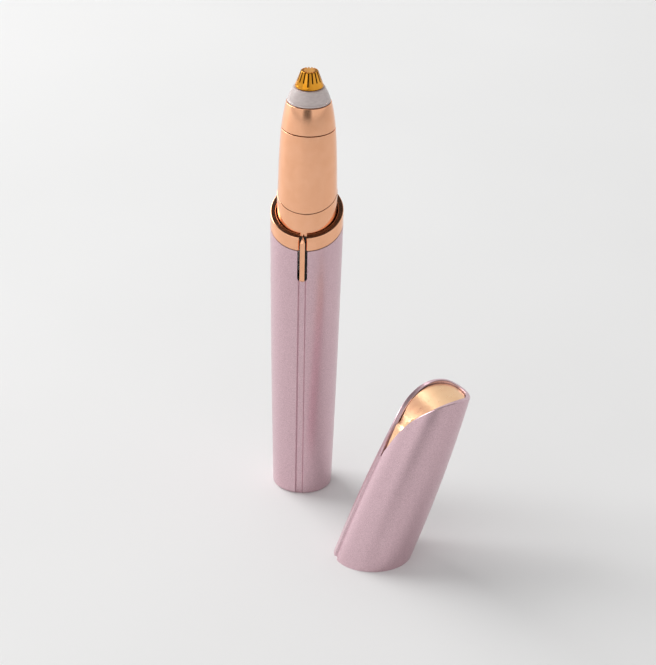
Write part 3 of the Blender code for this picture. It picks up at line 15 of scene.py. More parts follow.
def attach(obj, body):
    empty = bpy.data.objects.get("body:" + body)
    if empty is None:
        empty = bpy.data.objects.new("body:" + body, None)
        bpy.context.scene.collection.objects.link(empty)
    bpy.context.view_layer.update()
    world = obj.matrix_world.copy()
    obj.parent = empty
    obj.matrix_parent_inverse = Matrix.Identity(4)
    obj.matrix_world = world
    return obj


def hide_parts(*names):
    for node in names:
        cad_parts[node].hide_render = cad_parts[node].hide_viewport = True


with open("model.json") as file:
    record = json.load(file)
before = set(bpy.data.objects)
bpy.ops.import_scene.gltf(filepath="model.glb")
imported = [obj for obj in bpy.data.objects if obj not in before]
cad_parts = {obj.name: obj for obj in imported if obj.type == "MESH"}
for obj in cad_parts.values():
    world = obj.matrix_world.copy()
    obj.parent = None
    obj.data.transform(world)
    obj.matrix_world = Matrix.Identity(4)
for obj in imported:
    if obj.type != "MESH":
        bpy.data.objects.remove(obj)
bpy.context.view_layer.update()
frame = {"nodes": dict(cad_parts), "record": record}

# Sizes that follow the part
SLANT = math.radians(21.8)
SLOPE = math.tan(SLANT)
GAP = 0.0002
OVERRUN = 0.002
BARREL_BASE_RADIUS = 0.00725
BARREL_RADIUS = 0.00875
BARREL_TOP = 0.0709
BARREL_WALL = 0.0011
BARREL_FLOOR = 0.0012
BARREL_SWELL = 0.00013
FOOT_EDGE = 0.0006
CHANNEL_WIDTH = 0.0021
CHANNEL_DEPTH = 0.00045
SLOT_WIDTH = 0.0024
SLOT_LOW = 0.0592
SLOT_INNER = 0.0071
NOTCH_WIDTH = 0.0018
LEDGE = 0.0745
COLLAR_BORE = 0.0075
SPIGOT_RADIUS = 0.008
SPIGOT_DEPTH = 0.004
COLLAR_EDGE = 0.00025
NECK_RADIUS = 0.0072
NECK_WALL = 0.0007
NECK_TAPER = 0.0006
NECK_DRAW = 0.00125
NECK_POWER = 5
NECK_TURN = 0.076
SKIRT_LOW = 0.0712
LOWER_SEAM = 0.0794
UPPER_SEAM = 0.096
NECK_PLATE_LOW = 0.0951
NECK_RIM_RADIUS = 0.005546
NECK_RIM_BORE = 0.005146
NECK_RIM_TOP = 0.0974
GROOVE_LOW = 0.0965
GROOVE_HIGH = 0.0969
GROOVE_RADIUS = 0.005446
NOZZLE_HOLE = 0.0019
SEAM_EDGE = 0.00012
HEAD_LOW = 0.0962
HEAD_TOP = 0.1026
LIGHT_LOW = 0.0984
LIGHT_TOP = 0.1062
LIGHT_TOP_RADIUS = 0.00387
LIGHT_BORE = 0.0031
LIGHT_BULGE = 0.00015
LIGHT_EDGE = 0.00025
CARRIER_TOP = 0.1014
GUARD_RING_RADIUS = 0.0034
GUARD_RING_HEIGHT = 0.0007
GUARD_CONE_RADIUS = 0.0032
GUARD_TOP_RADIUS = 0.00202
GUARD_EDGE = 0.00018
GUARD_WALL = 0.00035
GUARD_SLOTS = 16
GUARD_SLOT_WIDTH = 0.00034
GUARD_HUB = 0.0013
GUARD_DROP = 0.0024
GUARD_LONG_DROP = 0.0031
TIP_TOP = 0.1103
BUTTON_LOW = 0.0596
BUTTON_HIGH = 0.0712
BUTTON_FACE = -0.00885
BUTTON_BACK = -0.00795
BUTTON_WIDTH = 0.0012
BUTTON_POINT = 0.0016
BUTTON_BEVEL = 0.0002
STEM_LOW = 0.0614
STEM_HIGH = 0.0644
STEM_WIDTH = 0.0008
STEM_BACK = -0.0067
CAP_LENGTH = 0.0456
CAP_WALL = 0.0011
CAP_SLOPE = 0.0152
CAP_TAPER = 0.00281
CAP_SCOOP = 0.02125
CAP_SCOOP_TURN = math.radians(125)
CAP_FRONT_TURN = math.radians(-5)
CAP_SLIT = 0.0007
CAP_SLIT_LENGTH = 0.002
CAP_SLIT_RISE = 0.0026
CAP_SLIT_SPREAD = math.radians(5)
CAP_SETBACK = 0.0005
CAP_TONGUE = 0.0075
CAP_TONGUE_FADE = 0.0025
CAP_INSERT_WALL = 0.0006
CAP_INSERT_DROP = 0.0012
CAP_RIB_FIRST = 0.006
CAP_RIB_PITCH = 0.004
CAP_RIB_HEIGHT = 0.0001
CAP_RIB_WIDTH = 0.0008
CAP_RIBS = 3
CAP_PLACE = (0.02074, -0.03237, 0)
CAP_LEAN = math.radians(27)
CAP_TILT = SLANT

# Sizes of the looks alone
CHANNEL_FLOOR = 0.0013
NOTCH_EDGE = 0.00025
COLLAR_INNER_EDGE = 0.00012
LIGHT_GROOVE = 0.00012
LIGHT_GROOVE_RISE = 0.0004
LIGHT_GROOVE_WIDTH = 0.00009
# The black strip behind the button, put there as painted shade
SHADE_STRIP_WIDTH = 0.0017
SHADE_STRIP_FACE = -0.00745
SHADE_STRIP_BACK = -0.0073
SHADE_STRIP_DROP = 0.0005
CAP_RIM_EDGE = 0.00012
CAP_TONGUE_GAP = 0.00035
CAP_TONGUE_TURN = math.radians(1.2)

# How far the tools reach
TOOL_REACH = 0.02
CHANNEL_OUTSIDE = -BARREL_RADIUS - OVERRUN / 4

# How finely things are divided
ROUND_STEPS = 160
SMALL_STEPS = 96
ROD_STEPS = 32
LONG_PIECES = 48
SHORT_PIECES = 12
FINE_PIECES = 64
CHANNEL_PIECES = 24
LINING_PIECES = 24
BARREL_BORE_PIECES = 6
CAP_FOOT_PIECES = 4
CAP_BORE_PIECES = 16
ARC_PIECES = 6
BEVEL_PIECES = 3

# Distances at which two points are one, and angles that make an edge sharp or flat
MERGE = 1e-7
FINE_MERGE = 1e-8
SHARP_ANGLE = math.radians(26)
FLAT_ANGLE = math.radians(1)

# The range that most values of a noise texture lie in
NOISE_LOW = 0.3
NOISE_HIGH = 0.7


def bow(depth, share):
    """A bulge that is 0 at shares 0 and 1, and the full depth halfway."""
    return depth * 4 * share * (1 - share)


def barrel_radius(height):
    share = height / BARREL_TOP
    return BARREL_BASE_RADIUS + (BARREL_RADIUS - BARREL_BASE_RADIUS) * share + bow(BARREL_SWELL, share)


def head_radius(height):
    share = max(0, height - NECK_TURN) / (HEAD_TOP - NECK_TURN)
    return NECK_RADIUS - NECK_TAPER * share - NECK_DRAW * share ** NECK_POWER


def cap_radius(height):
    share = height / CAP_LENGTH
    return BARREL_RADIUS + CAP_SLOPE * height - CAP_TAPER * share * share


def spread(low, high, pieces):
    """Values from low to high that leave equal pieces between them."""
    return [low + (high - low) * i / pieces for i in range(pieces + 1)]


def wall(radius_at, low, high, pieces, inset=0):
    """Points of (radius, height) up a side, moved inwards by the inset."""
    return [(radius_at(height) - inset, height) for height in spread(low, high, pieces)]


def rounded(points, edges):
    """The outline with the corners in edges, by index and radius, made round."""
    result = []
    for i, point in enumerate(points):
        radius = edges.get(i, 0)
        if not radius:
            result.append(point)
            continue
        corner = Vector(point)
        before = (Vector(points[i - 1]) - corner).normalized() * radius
        after = (Vector(points[(i + 1) % len(points)]) - corner).normalized() * radius
        for t in spread(0, 1, ARC_PIECES):
            result.append(tuple(corner + before * (1 - t) ** 2 + after * t ** 2))
    return result


# Mesh makers
def made(name, shape):
    mesh = bpy.data.meshes.new(name)
    bmesh.ops.recalc_face_normals(shape, faces=shape.faces)
    shape.to_mesh(mesh)
    shape.free()
    thing = bpy.data.objects.new(name, mesh)
    bpy.context.scene.collection.objects.link(thing)
    return thing


def lathe(name, outline, steps=ROUND_STEPS, slanted=False):
    """A closed solid turned from a closed outline of (radius, height)."""
    shape = bmesh.new()
    rings = []
    for radius, height in outline:
        if radius < MERGE:
            rings.append([shape.verts.new((0, 0, height))])
            continue
        ring = []
        for i in range(steps):
            angle = 2 * math.pi * i / steps - math.pi / 2
            x, y = radius * math.cos(angle), radius * math.sin(angle)
            ring.append(shape.verts.new((x, y, height + (SLOPE * y if slanted else 0))))
        rings.append(ring)
    for a, b in zip(rings, rings[1:] + rings[:1]):
        if len(a) == 1 and len(b) == 1:
            continue
        for i in range(steps):
            j = (i + 1) % steps
            if len(a) == 1:
                shape.faces.new((a[0], b[i], b[j]))
            elif len(b) == 1:
                shape.faces.new((a[i], b[0], a[j]))
            else:
                shape.faces.new((a[i], b[i], b[j], a[j]))
    return made(name, shape)


def turned(name, side):
    """A solid without a bore, turned from its side alone, which runs upwards."""
    return lathe(name, [(0, side[-1][1])] + list(reversed(side)) + [(0, side[0][1])])


def loft(name, rows):
    """A solid through rows of corners, closed at both ends."""
    shape = bmesh.new()
    rings = [[shape.verts.new(corner) for corner in row] for row in rows]
    shape.faces.new(rings[0])
    shape.faces.new(list(reversed(rings[-1])))
    for low, high in zip(rings, rings[1:]):
        for i in range(len(low)):
            j = (i + 1) % len(low)
            shape.faces.new((low[i], high[i], high[j], low[j]))
    return made(name, shape)


def channel_solid(name, radius_at, low, high):
    """Cutter for the channel: slanted walls from a narrow floor up to the full width."""
    rows = []
    for radius, z in wall(radius_at, low, high, CHANNEL_PIECES, CHANNEL_DEPTH):
        y = -radius
        top = y - CHANNEL_DEPTH
        rise = (CHANNEL_WIDTH - CHANNEL_FLOOR) / 2 * (top - CHANNEL_OUTSIDE) / CHANNEL_DEPTH
        wide, narrow = CHANNEL_WIDTH / 2 + rise, CHANNEL_FLOOR / 2
        rows.append([(-wide, CHANNEL_OUTSIDE, z), (-narrow, y, z),
                     (narrow, y, z), (wide, CHANNEL_OUTSIDE, z)])
    return loft(name, rows)


def box(name, low, high):
    shape = bmesh.new()
    bmesh.ops.create_cube(shape, size=1)
    size = Vector(high) - Vector(low)
    bmesh.ops.scale(shape, vec=size, verts=shape.verts)
    bmesh.ops.translate(shape, vec=Vector(low) + size / 2, verts=shape.verts)
    return made(name, shape)


def half_space(name, height, above):
    """A tool for all above, or below, the slanted plane."""
    low, high = (height, height + TIP_TOP) if above else (height - TIP_TOP, height)
    tool = box(name, (-TOOL_REACH, -TOOL_REACH, low), (TOOL_REACH, TOOL_REACH, high))
    for vertex in tool.data.vertices:
        vertex.co.z += SLOPE * vertex.co.y
    return tool


def side_solid(name, outline, half_width):
    """An outline of (y, z), extruded along X to both sides."""
    return loft(name, [[(x, y, z) for y, z in outline] for x in (-half_width, half_width)])


def rod_y(name, height, radius, y_low, y_high):
    """A round rod along Y, in the middle of the trimmer."""
    shape = bmesh.new()
    middle = (0, (y_low + y_high) / 2, height)
    place = Matrix.Translation(middle) @ Matrix.Rotation(math.pi / 2, 4, "X")
    bmesh.ops.create_cone(shape, cap_ends=True, segments=ROD_STEPS, radius1=radius, radius2=radius,
                          depth=y_high - y_low, matrix=place)
    return made(name, shape)


def settle(thing):
    """Apply every modifier of a piece."""
    bpy.context.view_layer.update()
    graph = bpy.context.evaluated_depsgraph_get()
    mesh = bpy.data.meshes.new_from_object(thing.evaluated_get(graph))
    old = thing.data
    thing.modifiers.clear()
    thing.data = mesh
    bpy.data.meshes.remove(old)


def carve(thing, *tools, operation="DIFFERENCE"):
    for tool in tools:
        change = thing.modifiers.new("carve", "BOOLEAN")
        change.operation = operation
        change.solver = "EXACT"
        change.object = tool
    settle(thing)
    for tool in tools:
        mesh = tool.data
        bpy.data.objects.remove(tool, do_unlink=True)
        bpy.data.meshes.remove(mesh)


def smooth(thing):
    """Smooth shading, with real edges kept sharp and flat faces kept flat."""
    shape = bmesh.new()
    shape.from_mesh(thing.data)
    bmesh.ops.remove_doubles(shape, verts=shape.verts, dist=MERGE)
    for face in shape.faces:
        face.smooth = True
    for edge in shape.edges:
        edge.smooth = len(edge.link_faces) == 2 and edge.calc_face_angle(0) < SHARP_ANGLE
    shape.to_mesh(thing.data)
    shape.free()
    even = thing.modifiers.new("even_shading", "WEIGHTED_NORMAL")
    even.keep_sharp = True
    even.weight = 100
    settle(thing)


def dress(thing, body, node, material):
    """Smooth a finished piece, give it its material, and let it stand for its CAD node."""
    smooth(thing)
    thing.data.materials.clear()
    thing.data.materials.append(material)
    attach(thing, body)
    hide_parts(node)


# Materials
SMUDGE_SHARE = 0.4
GRAIN_SHARE = 3
LILAC_LOW = (0.575, 0.385, 0.43)
LILAC_HIGH = (0.755, 0.54, 0.59)
CLEAR_LOW = (0.74, 0.64, 0.625)
CLEAR_HIGH = (0.86, 0.76, 0.74)


def new_material(name):
    material = bpy.data.materials.new(name)
    material.use_nodes = True
    tree = material.node_tree
    shader = tree.nodes["Principled BSDF"]
    place = tree.nodes.new("ShaderNodeTexCoord")
    return material, tree, shader, place.outputs["Object"]


def noise(tree, place, scale, detail, stretch=None):
    if stretch:
        mapping = tree.nodes.new("ShaderNodeMapping")
        mapping.inputs["Scale"].default_value = stretch
        tree.links.new(place, mapping.inputs["Vector"])
        place = mapping.outputs["Vector"]
    texture = tree.nodes.new("ShaderNodeTexNoise")
    texture.inputs["Scale"].default_value = scale
    texture.inputs["Detail"].default_value = detail
    tree.links.new(place, texture.inputs["Vector"])
    return texture.outputs["Fac"]


def ramp(tree, factor, low, high, start=NOISE_LOW, end=NOISE_HIGH):
    """Colours between low and high along a factor."""
    node = tree.nodes.new("ShaderNodeValToRGB")
    node.color_ramp.elements[0].position = start
    node.color_ramp.elements[0].color = (*low, 1)
    node.color_ramp.elements[1].position = end
    node.color_ramp.elements[1].color = (*high, 1)
    tree.links.new(factor, node.inputs["Fac"])
    return node.outputs["Color"]


def spread_value(tree, factor, low, high):
    """Values between low and high along a factor."""
    node = tree.nodes.new("ShaderNodeMapRange")
    node.inputs["From Min"].default_value = NOISE_LOW
    node.inputs["From Max"].default_value = NOISE_HIGH
    node.inputs["To Min"].default_value = low
    node.inputs["To Max"].default_value = high
    tree.links.new(factor, node.inputs["Value"])
    return node.outputs["Result"]


def bump(tree, shader, factor, strength, distance):
    node = tree.nodes.new("ShaderNodeBump")
    node.inputs["Strength"].default_value = strength
    node.inputs["Distance"].default_value = distance
    tree.links.new(factor, node.inputs["Height"])
    tree.links.new(node.outputs["Normal"], shader.inputs["Normal"])


def finish(name, low, high, scale, rough, metallic=0, grain=0, stretch=None):
    """A procedural finish: mottled colour, uneven roughness and a fine grain."""
    material, tree, shader, place = new_material(name)
    mottle = noise(tree, place, scale, detail=4, stretch=stretch)
    tree.links.new(ramp(tree, mottle, low, high), shader.inputs["Base Color"])
    smudge = noise(tree, place, scale * SMUDGE_SHARE, detail=3, stretch=stretch)
    tree.links.new(spread_value(tree, smudge, rough[0], rough[1]), shader.inputs["Roughness"])
    shader.inputs["Metallic"].default_value = metallic
    if grain:
        fine = noise(tree, place, scale * GRAIN_SHARE, detail=2, stretch=stretch)
        bump(tree, shader, fine, strength=grain, distance=0.00002)
    return material


def lilac_finish():
    """Metallic lacquer: fine flakes under a satin clear coat."""
    material, tree, shader, place = new_material("lilac_lacquer")
    flakes = noise(tree, place, scale=6500, detail=1)
    tone = ramp(tree, flakes, LILAC_LOW, LILAC_HIGH, start=0.35, end=0.65)
    tree.links.new(tone, shader.inputs["Base Color"])
    smudge = noise(tree, place, scale=260, detail=3)
    tree.links.new(spread_value(tree, smudge, low=0.31, high=0.37), shader.inputs["Roughness"])
    shader.inputs["Metallic"].default_value = 0.85
    shader.inputs["Coat Weight"].default_value = 0.25
    shader.inputs["Coat Roughness"].default_value = 0.28
    bump(tree, shader, noise(tree, place, scale=5200, detail=2), strength=0.12, distance=0.00001)
    return material


def gold_finish(name, low, high, rough):
    """Polished plating with faint smudges and a slight waviness from the moulding."""
    material, tree, shader, place = new_material(name)
    tone = noise(tree, place, scale=420, detail=3)
    tree.links.new(ramp(tree, tone, low, high), shader.inputs["Base Color"])
    smudge = noise(tree, place, scale=700, detail=4, stretch=(1, 1, 0.35))
    tree.links.new(spread_value(tree, smudge, rough[0], rough[1]), shader.inputs["Roughness"])
    shader.inputs["Metallic"].default_value = 1
    waves = noise(tree, place, scale=240, detail=2, stretch=(1, 1, 0.3))
    bump(tree, shader, waves, strength=0.05, distance=0.00003)
    return material


def clear_finish():
    """Clear moulded ring, slightly smoky, with soft flow marks."""
    material, tree, shader, place = new_material("clear_ring")
    flow = noise(tree, place, scale=900, detail=3, stretch=(1, 1, 2.5))
    tree.links.new(ramp(tree, flow, CLEAR_LOW, CLEAR_HIGH), shader.inputs["Base Color"])
    tree.links.new(spread_value(tree, flow, low=0.14, high=0.26), shader.inputs["Roughness"])
    shader.inputs["Transmission Weight"].default_value = 0.3
    shader.inputs["IOR"].default_value = 1.49
    bump(tree, shader, flow, strength=0.08, distance=0.00004)
    return material


# gold_finish takes a name, two colours and a range of roughness. finish also takes the scale of its
# mottling before the roughness, and after it the metallic share, the grain and the stretch.
LILAC = lilac_finish()
ROSE_GOLD = gold_finish("rose_gold", (0.92, 0.47, 0.275), (0.96, 0.51, 0.31), (0.12, 0.19))
LINING_GOLD = gold_finish("lining_gold", (0.95, 0.60, 0.34), (1.0, 0.66, 0.39), (0.27, 0.33))
DEEP_GOLD = gold_finish("deep_gold", (0.68, 0.27, 0.015), (0.84, 0.39, 0.05), (0.14, 0.22))
# The cutter's near-black brown is painted shade: its steel is darkened for the cutter lying in shadow inside
# the guard.
CUTTER_PAINTED_SHADE = finish("cutter_steel_painted_shade", (0.09, 0.05, 0.03), (0.15, 0.09, 0.055), 900, (0.4, 0.55), 0.6, 0.1)
CLEAR = clear_finish()
BLACK = finish("black_plastic", (0.012, 0.012, 0.013), (0.028, 0.028, 0.03), 700, (0.42, 0.55), 0, 0.25)
WHITE = finish("white_plastic", (0.70, 0.70, 0.68), (0.80, 0.80, 0.78), 500, (0.38, 0.5), 0, 0.12)
STEEL = finish("bright_steel", (0.52, 0.52, 0.53), (0.68, 0.68, 0.69), 600, (0.2, 0.36), 1, 0.12, (1, 1, 6))
BRASS = finish("plain_brass", (0.68, 0.46, 0.17), (0.84, 0.62, 0.29), 600, (0.22, 0.38), 1, 0.1)
COPPER = finish("wound_copper", (0.55, 0.22, 0.10), (0.80, 0.40, 0.22), 2500, (0.28, 0.42), 1, 0.5,
                (1, 1, 3))
MAGNET = finish("sintered_magnet", (0.06, 0.06, 0.065), (0.12, 0.12, 0.125), 2200, (0.45, 0.65), 0.6, 0.4)
RUBBER = finish("soft_rubber", (0.03, 0.03, 0.03), (0.06, 0.06, 0.06), 900, (0.7, 0.85), 0, 0.3)
CELL = finish("cell_jacket", (0.07, 0.09, 0.13), (0.12, 0.14, 0.19), 300, (0.28, 0.4), 0.3, 0.05)
BOARD = finish("circuit_board", (0.015, 0.13, 0.045), (0.035, 0.22, 0.08), 1500, (0.32, 0.45), 0, 0.2)
LENS = finish("light_lens", (0.80, 0.79, 0.68), (0.92, 0.91, 0.82), 1500, (0.2, 0.3))
RED = finish("red_wire", (0.42, 0.015, 0.015), (0.62, 0.04, 0.03), 1200, (0.45, 0.58), 0, 0.1)
DARK_WIRE = finish("black_wire", (0.012, 0.012, 0.012), (0.03, 0.03, 0.03), 1200, (0.45, 0.58), 0, 0.1)
CHIP = finish("moulded_chip", (0.015, 0.015, 0.016), (0.035, 0.035, 0.037), 2000, (0.5, 0.65), 0, 0.3)
CAN = finish("plain_can", (0.56, 0.57, 0.6), (0.70, 0.71, 0.74), 800, (0.25, 0.36), 1, 0.08)

SLOT_LOOKS = {
    "black_plastic": BLACK,
    "white_plastic": WHITE,
    "steel": STEEL,
    "contact_brass": BRASS,
    "copper": COPPER,
    "magnet": MAGNET,
    "rubber": RUBBER,
    "battery_jacket": CELL,
    "green_board": BOARD,
    "light": LENS,
    "wire_red": RED,
    "wire_black": DARK_WIRE,
    "component_black": CHIP,
    "component_metal": CAN,
    "lilac_shell": LILAC,
    "rose_gold": ROSE_GOLD,
    "deep_gold": DEEP_GOLD,
    "clear_ring": CLEAR,
}
# The rotary cutter gets the darkened cutter material, painted shade, in place of its slot's look.
for part in frame["record"]["subparts"]:
    for holder in frame["nodes"][part["node"]].material_slots:
        holder.material = CUTTER_PAINTED_SHADE if part["node"] == "rotary_cutter" else SLOT_LOOKS[part["material_slot"]]


# Barrel
def slot_tools(top):
    low = SLOT_LOW + SLOT_WIDTH / 2
    outer = -BARREL_RADIUS - OVERRUN
    return (box("slot_tool", (-SLOT_WIDTH / 2, outer, low), (SLOT_WIDTH / 2, -SLOT_INNER, top)),
            rod_y("slot_end_tool", low, SLOT_WIDTH / 2, outer, -SLOT_INNER))


def notch_tool():
    """The collar's notch, with its two outer edges chamfered."""
    half = NOTCH_WIDTH / 2
    face = -BARREL_RADIUS
    wide = half + NOTCH_EDGE
    outline = [(-half, -SLOT_INNER), (-half, face + NOTCH_EDGE), (-wide, face), (-wide, face - OVERRUN),
               (wide, face - OVERRUN), (wide, face), (half, face + NOTCH_EDGE), (half, -SLOT_INNER)]
    heights = (SLOT_LOW + SLOT_WIDTH / 2, TIP_TOP)
    return loft("notch_tool", [[(x, y, z) for x, y in outline] for z in heights])


def make_barrel():
    top = BARREL_TOP + BARREL_RADIUS * SLOPE + OVERRUN
    counterbore = SPIGOT_RADIUS + GAP
    counterbore_low = SKIRT_LOW - SPIGOT_DEPTH - BARREL_RADIUS * SLOPE
    outline = [(0, BARREL_FLOOR)]
    outline += wall(barrel_radius, BARREL_FLOOR, counterbore_low, BARREL_BORE_PIECES, BARREL_WALL)
    outline += [(counterbore, counterbore_low), (counterbore, top)]
    outline += reversed(wall(barrel_radius, FOOT_EDGE, top, LONG_PIECES))
    foot = [(barrel_radius(FOOT_EDGE), FOOT_EDGE), (BARREL_BASE_RADIUS, 0), (0, 0)]
    outline += rounded(foot, {1: FOOT_EDGE})[1:]
    barrel = lathe("barrel", outline)
    channel = channel_solid("channel_tool", barrel_radius, -OVERRUN, SLOT_LOW + SLOT_WIDTH / 2)
    carve(barrel, half_space("top_tool", BARREL_TOP, True), channel, *slot_tools(TIP_TOP))
    dress(barrel, "barrel", "barrel_shell", LILAC)


def make_collar():
    band_low = BARREL_TOP + GAP
    spigot_low = BARREL_TOP - SPIGOT_DEPTH
    corners = [(BARREL_RADIUS, LEDGE), (BARREL_RADIUS, band_low), (SPIGOT_RADIUS, band_low),
               (SPIGOT_RADIUS, spigot_low), (COLLAR_BORE, spigot_low), (COLLAR_BORE, LEDGE)]
    outline = rounded(corners, {0: COLLAR_EDGE, 1: SEAM_EDGE, 5: COLLAR_INNER_EDGE})
    collar = lathe("collar", outline, slanted=True)
    carve(collar, notch_tool(), *slot_tools(BARREL_TOP - BARREL_RADIUS * SLOPE))
    dress(collar, "barrel", "collar_ring", ROSE_GOLD)


# Neck and head
def make_skirt():
    bore = NECK_RADIUS - NECK_WALL
    seat = LOWER_SEAM - GAP / 2
    corners = [(NECK_RADIUS, seat), (NECK_RADIUS, SKIRT_LOW), (bore, SKIRT_LOW), (bore, seat)]
    skirt = lathe("neck_skirt_gold", rounded(corners, {0: SEAM_EDGE}), slanted=True)
    dress(skirt, "chassis", "neck_skirt", ROSE_GOLD)


def make_neck():
    low = LOWER_SEAM - NECK_RADIUS * SLOPE - OVERRUN
    outline = [(NECK_RIM_RADIUS, NECK_RIM_TOP), (NECK_RIM_RADIUS, GROOVE_HIGH), (GROOVE_RADIUS, GROOVE_HIGH),
               (GROOVE_RADIUS, GROOVE_LOW), (NECK_RIM_RADIUS, GROOVE_LOW), (NECK_RIM_RADIUS, UPPER_SEAM)]
    rim = [(0, UPPER_SEAM), (head_radius(UPPER_SEAM), UPPER_SEAM),
           (head_radius(UPPER_SEAM - SEAM_EDGE), UPPER_SEAM - SEAM_EDGE)]
    outline += rounded(rim, {1: SEAM_EDGE})[1:-1]
    outline += reversed(wall(head_radius, low, UPPER_SEAM - SEAM_EDGE, LONG_PIECES))
    outline += wall(head_radius, low, NECK_PLATE_LOW, SHORT_PIECES, NECK_WALL)
    outline += [(NOZZLE_HOLE, NECK_PLATE_LOW), (NOZZLE_HOLE, UPPER_SEAM),
                (NECK_RIM_BORE, UPPER_SEAM), (NECK_RIM_BORE, NECK_RIM_TOP)]
    neck = lathe("neck", outline)
    carve(neck, half_space("neck_tool", LOWER_SEAM + GAP / 2, False))
    dress(neck, "chassis", "neck_shell", ROSE_GOLD)


def make_head_ring():
    top = [(head_radius(HEAD_TOP) - NECK_WALL, HEAD_TOP), (head_radius(HEAD_TOP), HEAD_TOP),
           (head_radius(HEAD_TOP - SEAM_EDGE), HEAD_TOP - SEAM_EDGE)]
    outline = rounded(top, {1: SEAM_EDGE})[:-1]
    outline += reversed(wall(head_radius, HEAD_LOW + SEAM_EDGE, HEAD_TOP - SEAM_EDGE, LONG_PIECES))
    foot = [(head_radius(HEAD_LOW + SEAM_EDGE), HEAD_LOW + SEAM_EDGE), (head_radius(HEAD_LOW), HEAD_LOW),
            (head_radius(HEAD_LOW) - NECK_WALL, HEAD_LOW)]
    outline += rounded(foot, {1: SEAM_EDGE})[1:]
    outline += wall(head_radius, HEAD_LOW, HEAD_TOP, SHORT_PIECES, NECK_WALL)[1:-1]
    ring = lathe("head_gold", outline)
    dress(ring, "head", "head_ring", ROSE_GOLD)


def make_light_ring():
    collar = head_radius(HEAD_TOP) - NECK_WALL - GAP
    low = HEAD_TOP + GAP
    base = head_radius(HEAD_TOP) - GAP
    rim_low = LIGHT_TOP - LIGHT_EDGE
    outline = rounded([(LIGHT_BORE, LIGHT_TOP), (LIGHT_TOP_RADIUS, LIGHT_TOP), (LIGHT_TOP_RADIUS, rim_low)],
                      {1: LIGHT_EDGE})[:-1]
    for share in reversed(spread(0, 1, FINE_PIECES)):
        radius = base + (LIGHT_TOP_RADIUS - base) * share + bow(LIGHT_BULGE, share)
        height = low + (rim_low - low) * share
        dip = math.exp(-((height - low - LIGHT_GROOVE_RISE) / LIGHT_GROOVE_WIDTH) ** 2)
        outline.append((radius - LIGHT_GROOVE * dip, height))
    outline += [(collar, low), (collar, LIGHT_LOW), (LIGHT_BORE, LIGHT_LOW)]
    ring = lathe("light_ring_clear", outline)
    dress(ring, "head", "light_ring", CLEAR)


def make_guard():
    skirt = LIGHT_BORE - GAP
    low = LIGHT_TOP + GAP
    high = low + GUARD_RING_HEIGHT
    corners = [(0, TIP_TOP), (GUARD_TOP_RADIUS, TIP_TOP), (GUARD_CONE_RADIUS, high),
               (GUARD_RING_RADIUS, (low + high) / 2), (GUARD_RING_RADIUS, low), (skirt, low),
               (skirt, CARRIER_TOP + GAP),
               (skirt - GUARD_WALL, CARRIER_TOP + GAP), (skirt - GUARD_WALL, low),
               (GUARD_TOP_RADIUS - GUARD_WALL, TIP_TOP - GUARD_WALL), (0, TIP_TOP - GUARD_WALL)]
    rounding = {i: GUARD_EDGE for i in (1, 2, 3, 4)}
    guard = lathe("cutter_guard_gold", rounded(corners, rounding), SMALL_STEPS)
    shape = bmesh.new()
    reach = GUARD_RING_RADIUS + OVERRUN
    for i in range(GUARD_SLOTS):
        drop = GUARD_DROP if i else GUARD_LONG_DROP
        size = Vector((reach - GUARD_HUB, GUARD_SLOT_WIDTH, drop + OVERRUN))
        middle = ((GUARD_HUB + reach) / 2, 0, TIP_TOP + OVERRUN - size.z / 2)
        blade = bmesh.ops.create_cube(shape, size=1)["verts"]
        bmesh.ops.scale(shape, vec=size, verts=blade)
        bmesh.ops.translate(shape, vec=middle, verts=blade)
        turn = Matrix.Rotation(2 * math.pi * i / GUARD_SLOTS - math.pi / 2, 3, "Z")
        bmesh.ops.rotate(shape, cent=(0, 0, 0), matrix=turn, verts=blade)
    carve(guard, made("guard_slots", shape))
    dress(guard, "head", "cutter_guard", DEEP_GOLD)


# Switch button
def make_button():
    """A narrow strip that ends at the top in a little roof, with its ridge running back and up."""
    half = BUTTON_WIDTH / 2
    neck = BUTTON_HIGH - BUTTON_POINT
    points = [(side * half, y, z) for side in (-1, 1)
              for z in (BUTTON_LOW, neck) for y in (BUTTON_FACE, BUTTON_BACK)]
    points += [(0, BUTTON_FACE + BUTTON_BEVEL, neck + BUTTON_BEVEL), (0, BUTTON_BACK, BUTTON_HIGH)]
    shape = bmesh.new()
    for point in points:
        shape.verts.new(point)
    bmesh.ops.convex_hull(shape, input=shape.verts)
    bmesh.ops.dissolve_limit(shape, angle_limit=FLAT_ANGLE, verts=shape.verts, edges=shape.edges)
    button = made("thumb_slide", shape)
    edges = button.modifiers.new("edges", "BEVEL")
    edges.width = BUTTON_BEVEL / 2
    edges.segments = BEVEL_PIECES
    edges.limit_method = "ANGLE"
    settle(button)
    stem = box("stem_tool", (-STEM_WIDTH / 2, BUTTON_BACK - BUTTON_BEVEL, STEM_LOW),
               (STEM_WIDTH / 2, STEM_BACK, STEM_HIGH))
    carve(button, stem, operation="UNION")
    dress(button, "switch", "switch_button", ROSE_GOLD)


def make_shade_strip():
    """A thin black strip that closes the slot behind the button and stands for the whole black carriage; it
    reaches up behind the button as painted shade, to keep the slot there dark.
    """
    half = SHADE_STRIP_WIDTH / 2
    shade_strip = box("slot_painted_shade", (-half, SHADE_STRIP_FACE, BUTTON_LOW),
                 (half, SHADE_STRIP_BACK, BUTTON_HIGH - SHADE_STRIP_DROP))
    dress(shade_strip, "switch", "switch_carriage", BLACK)


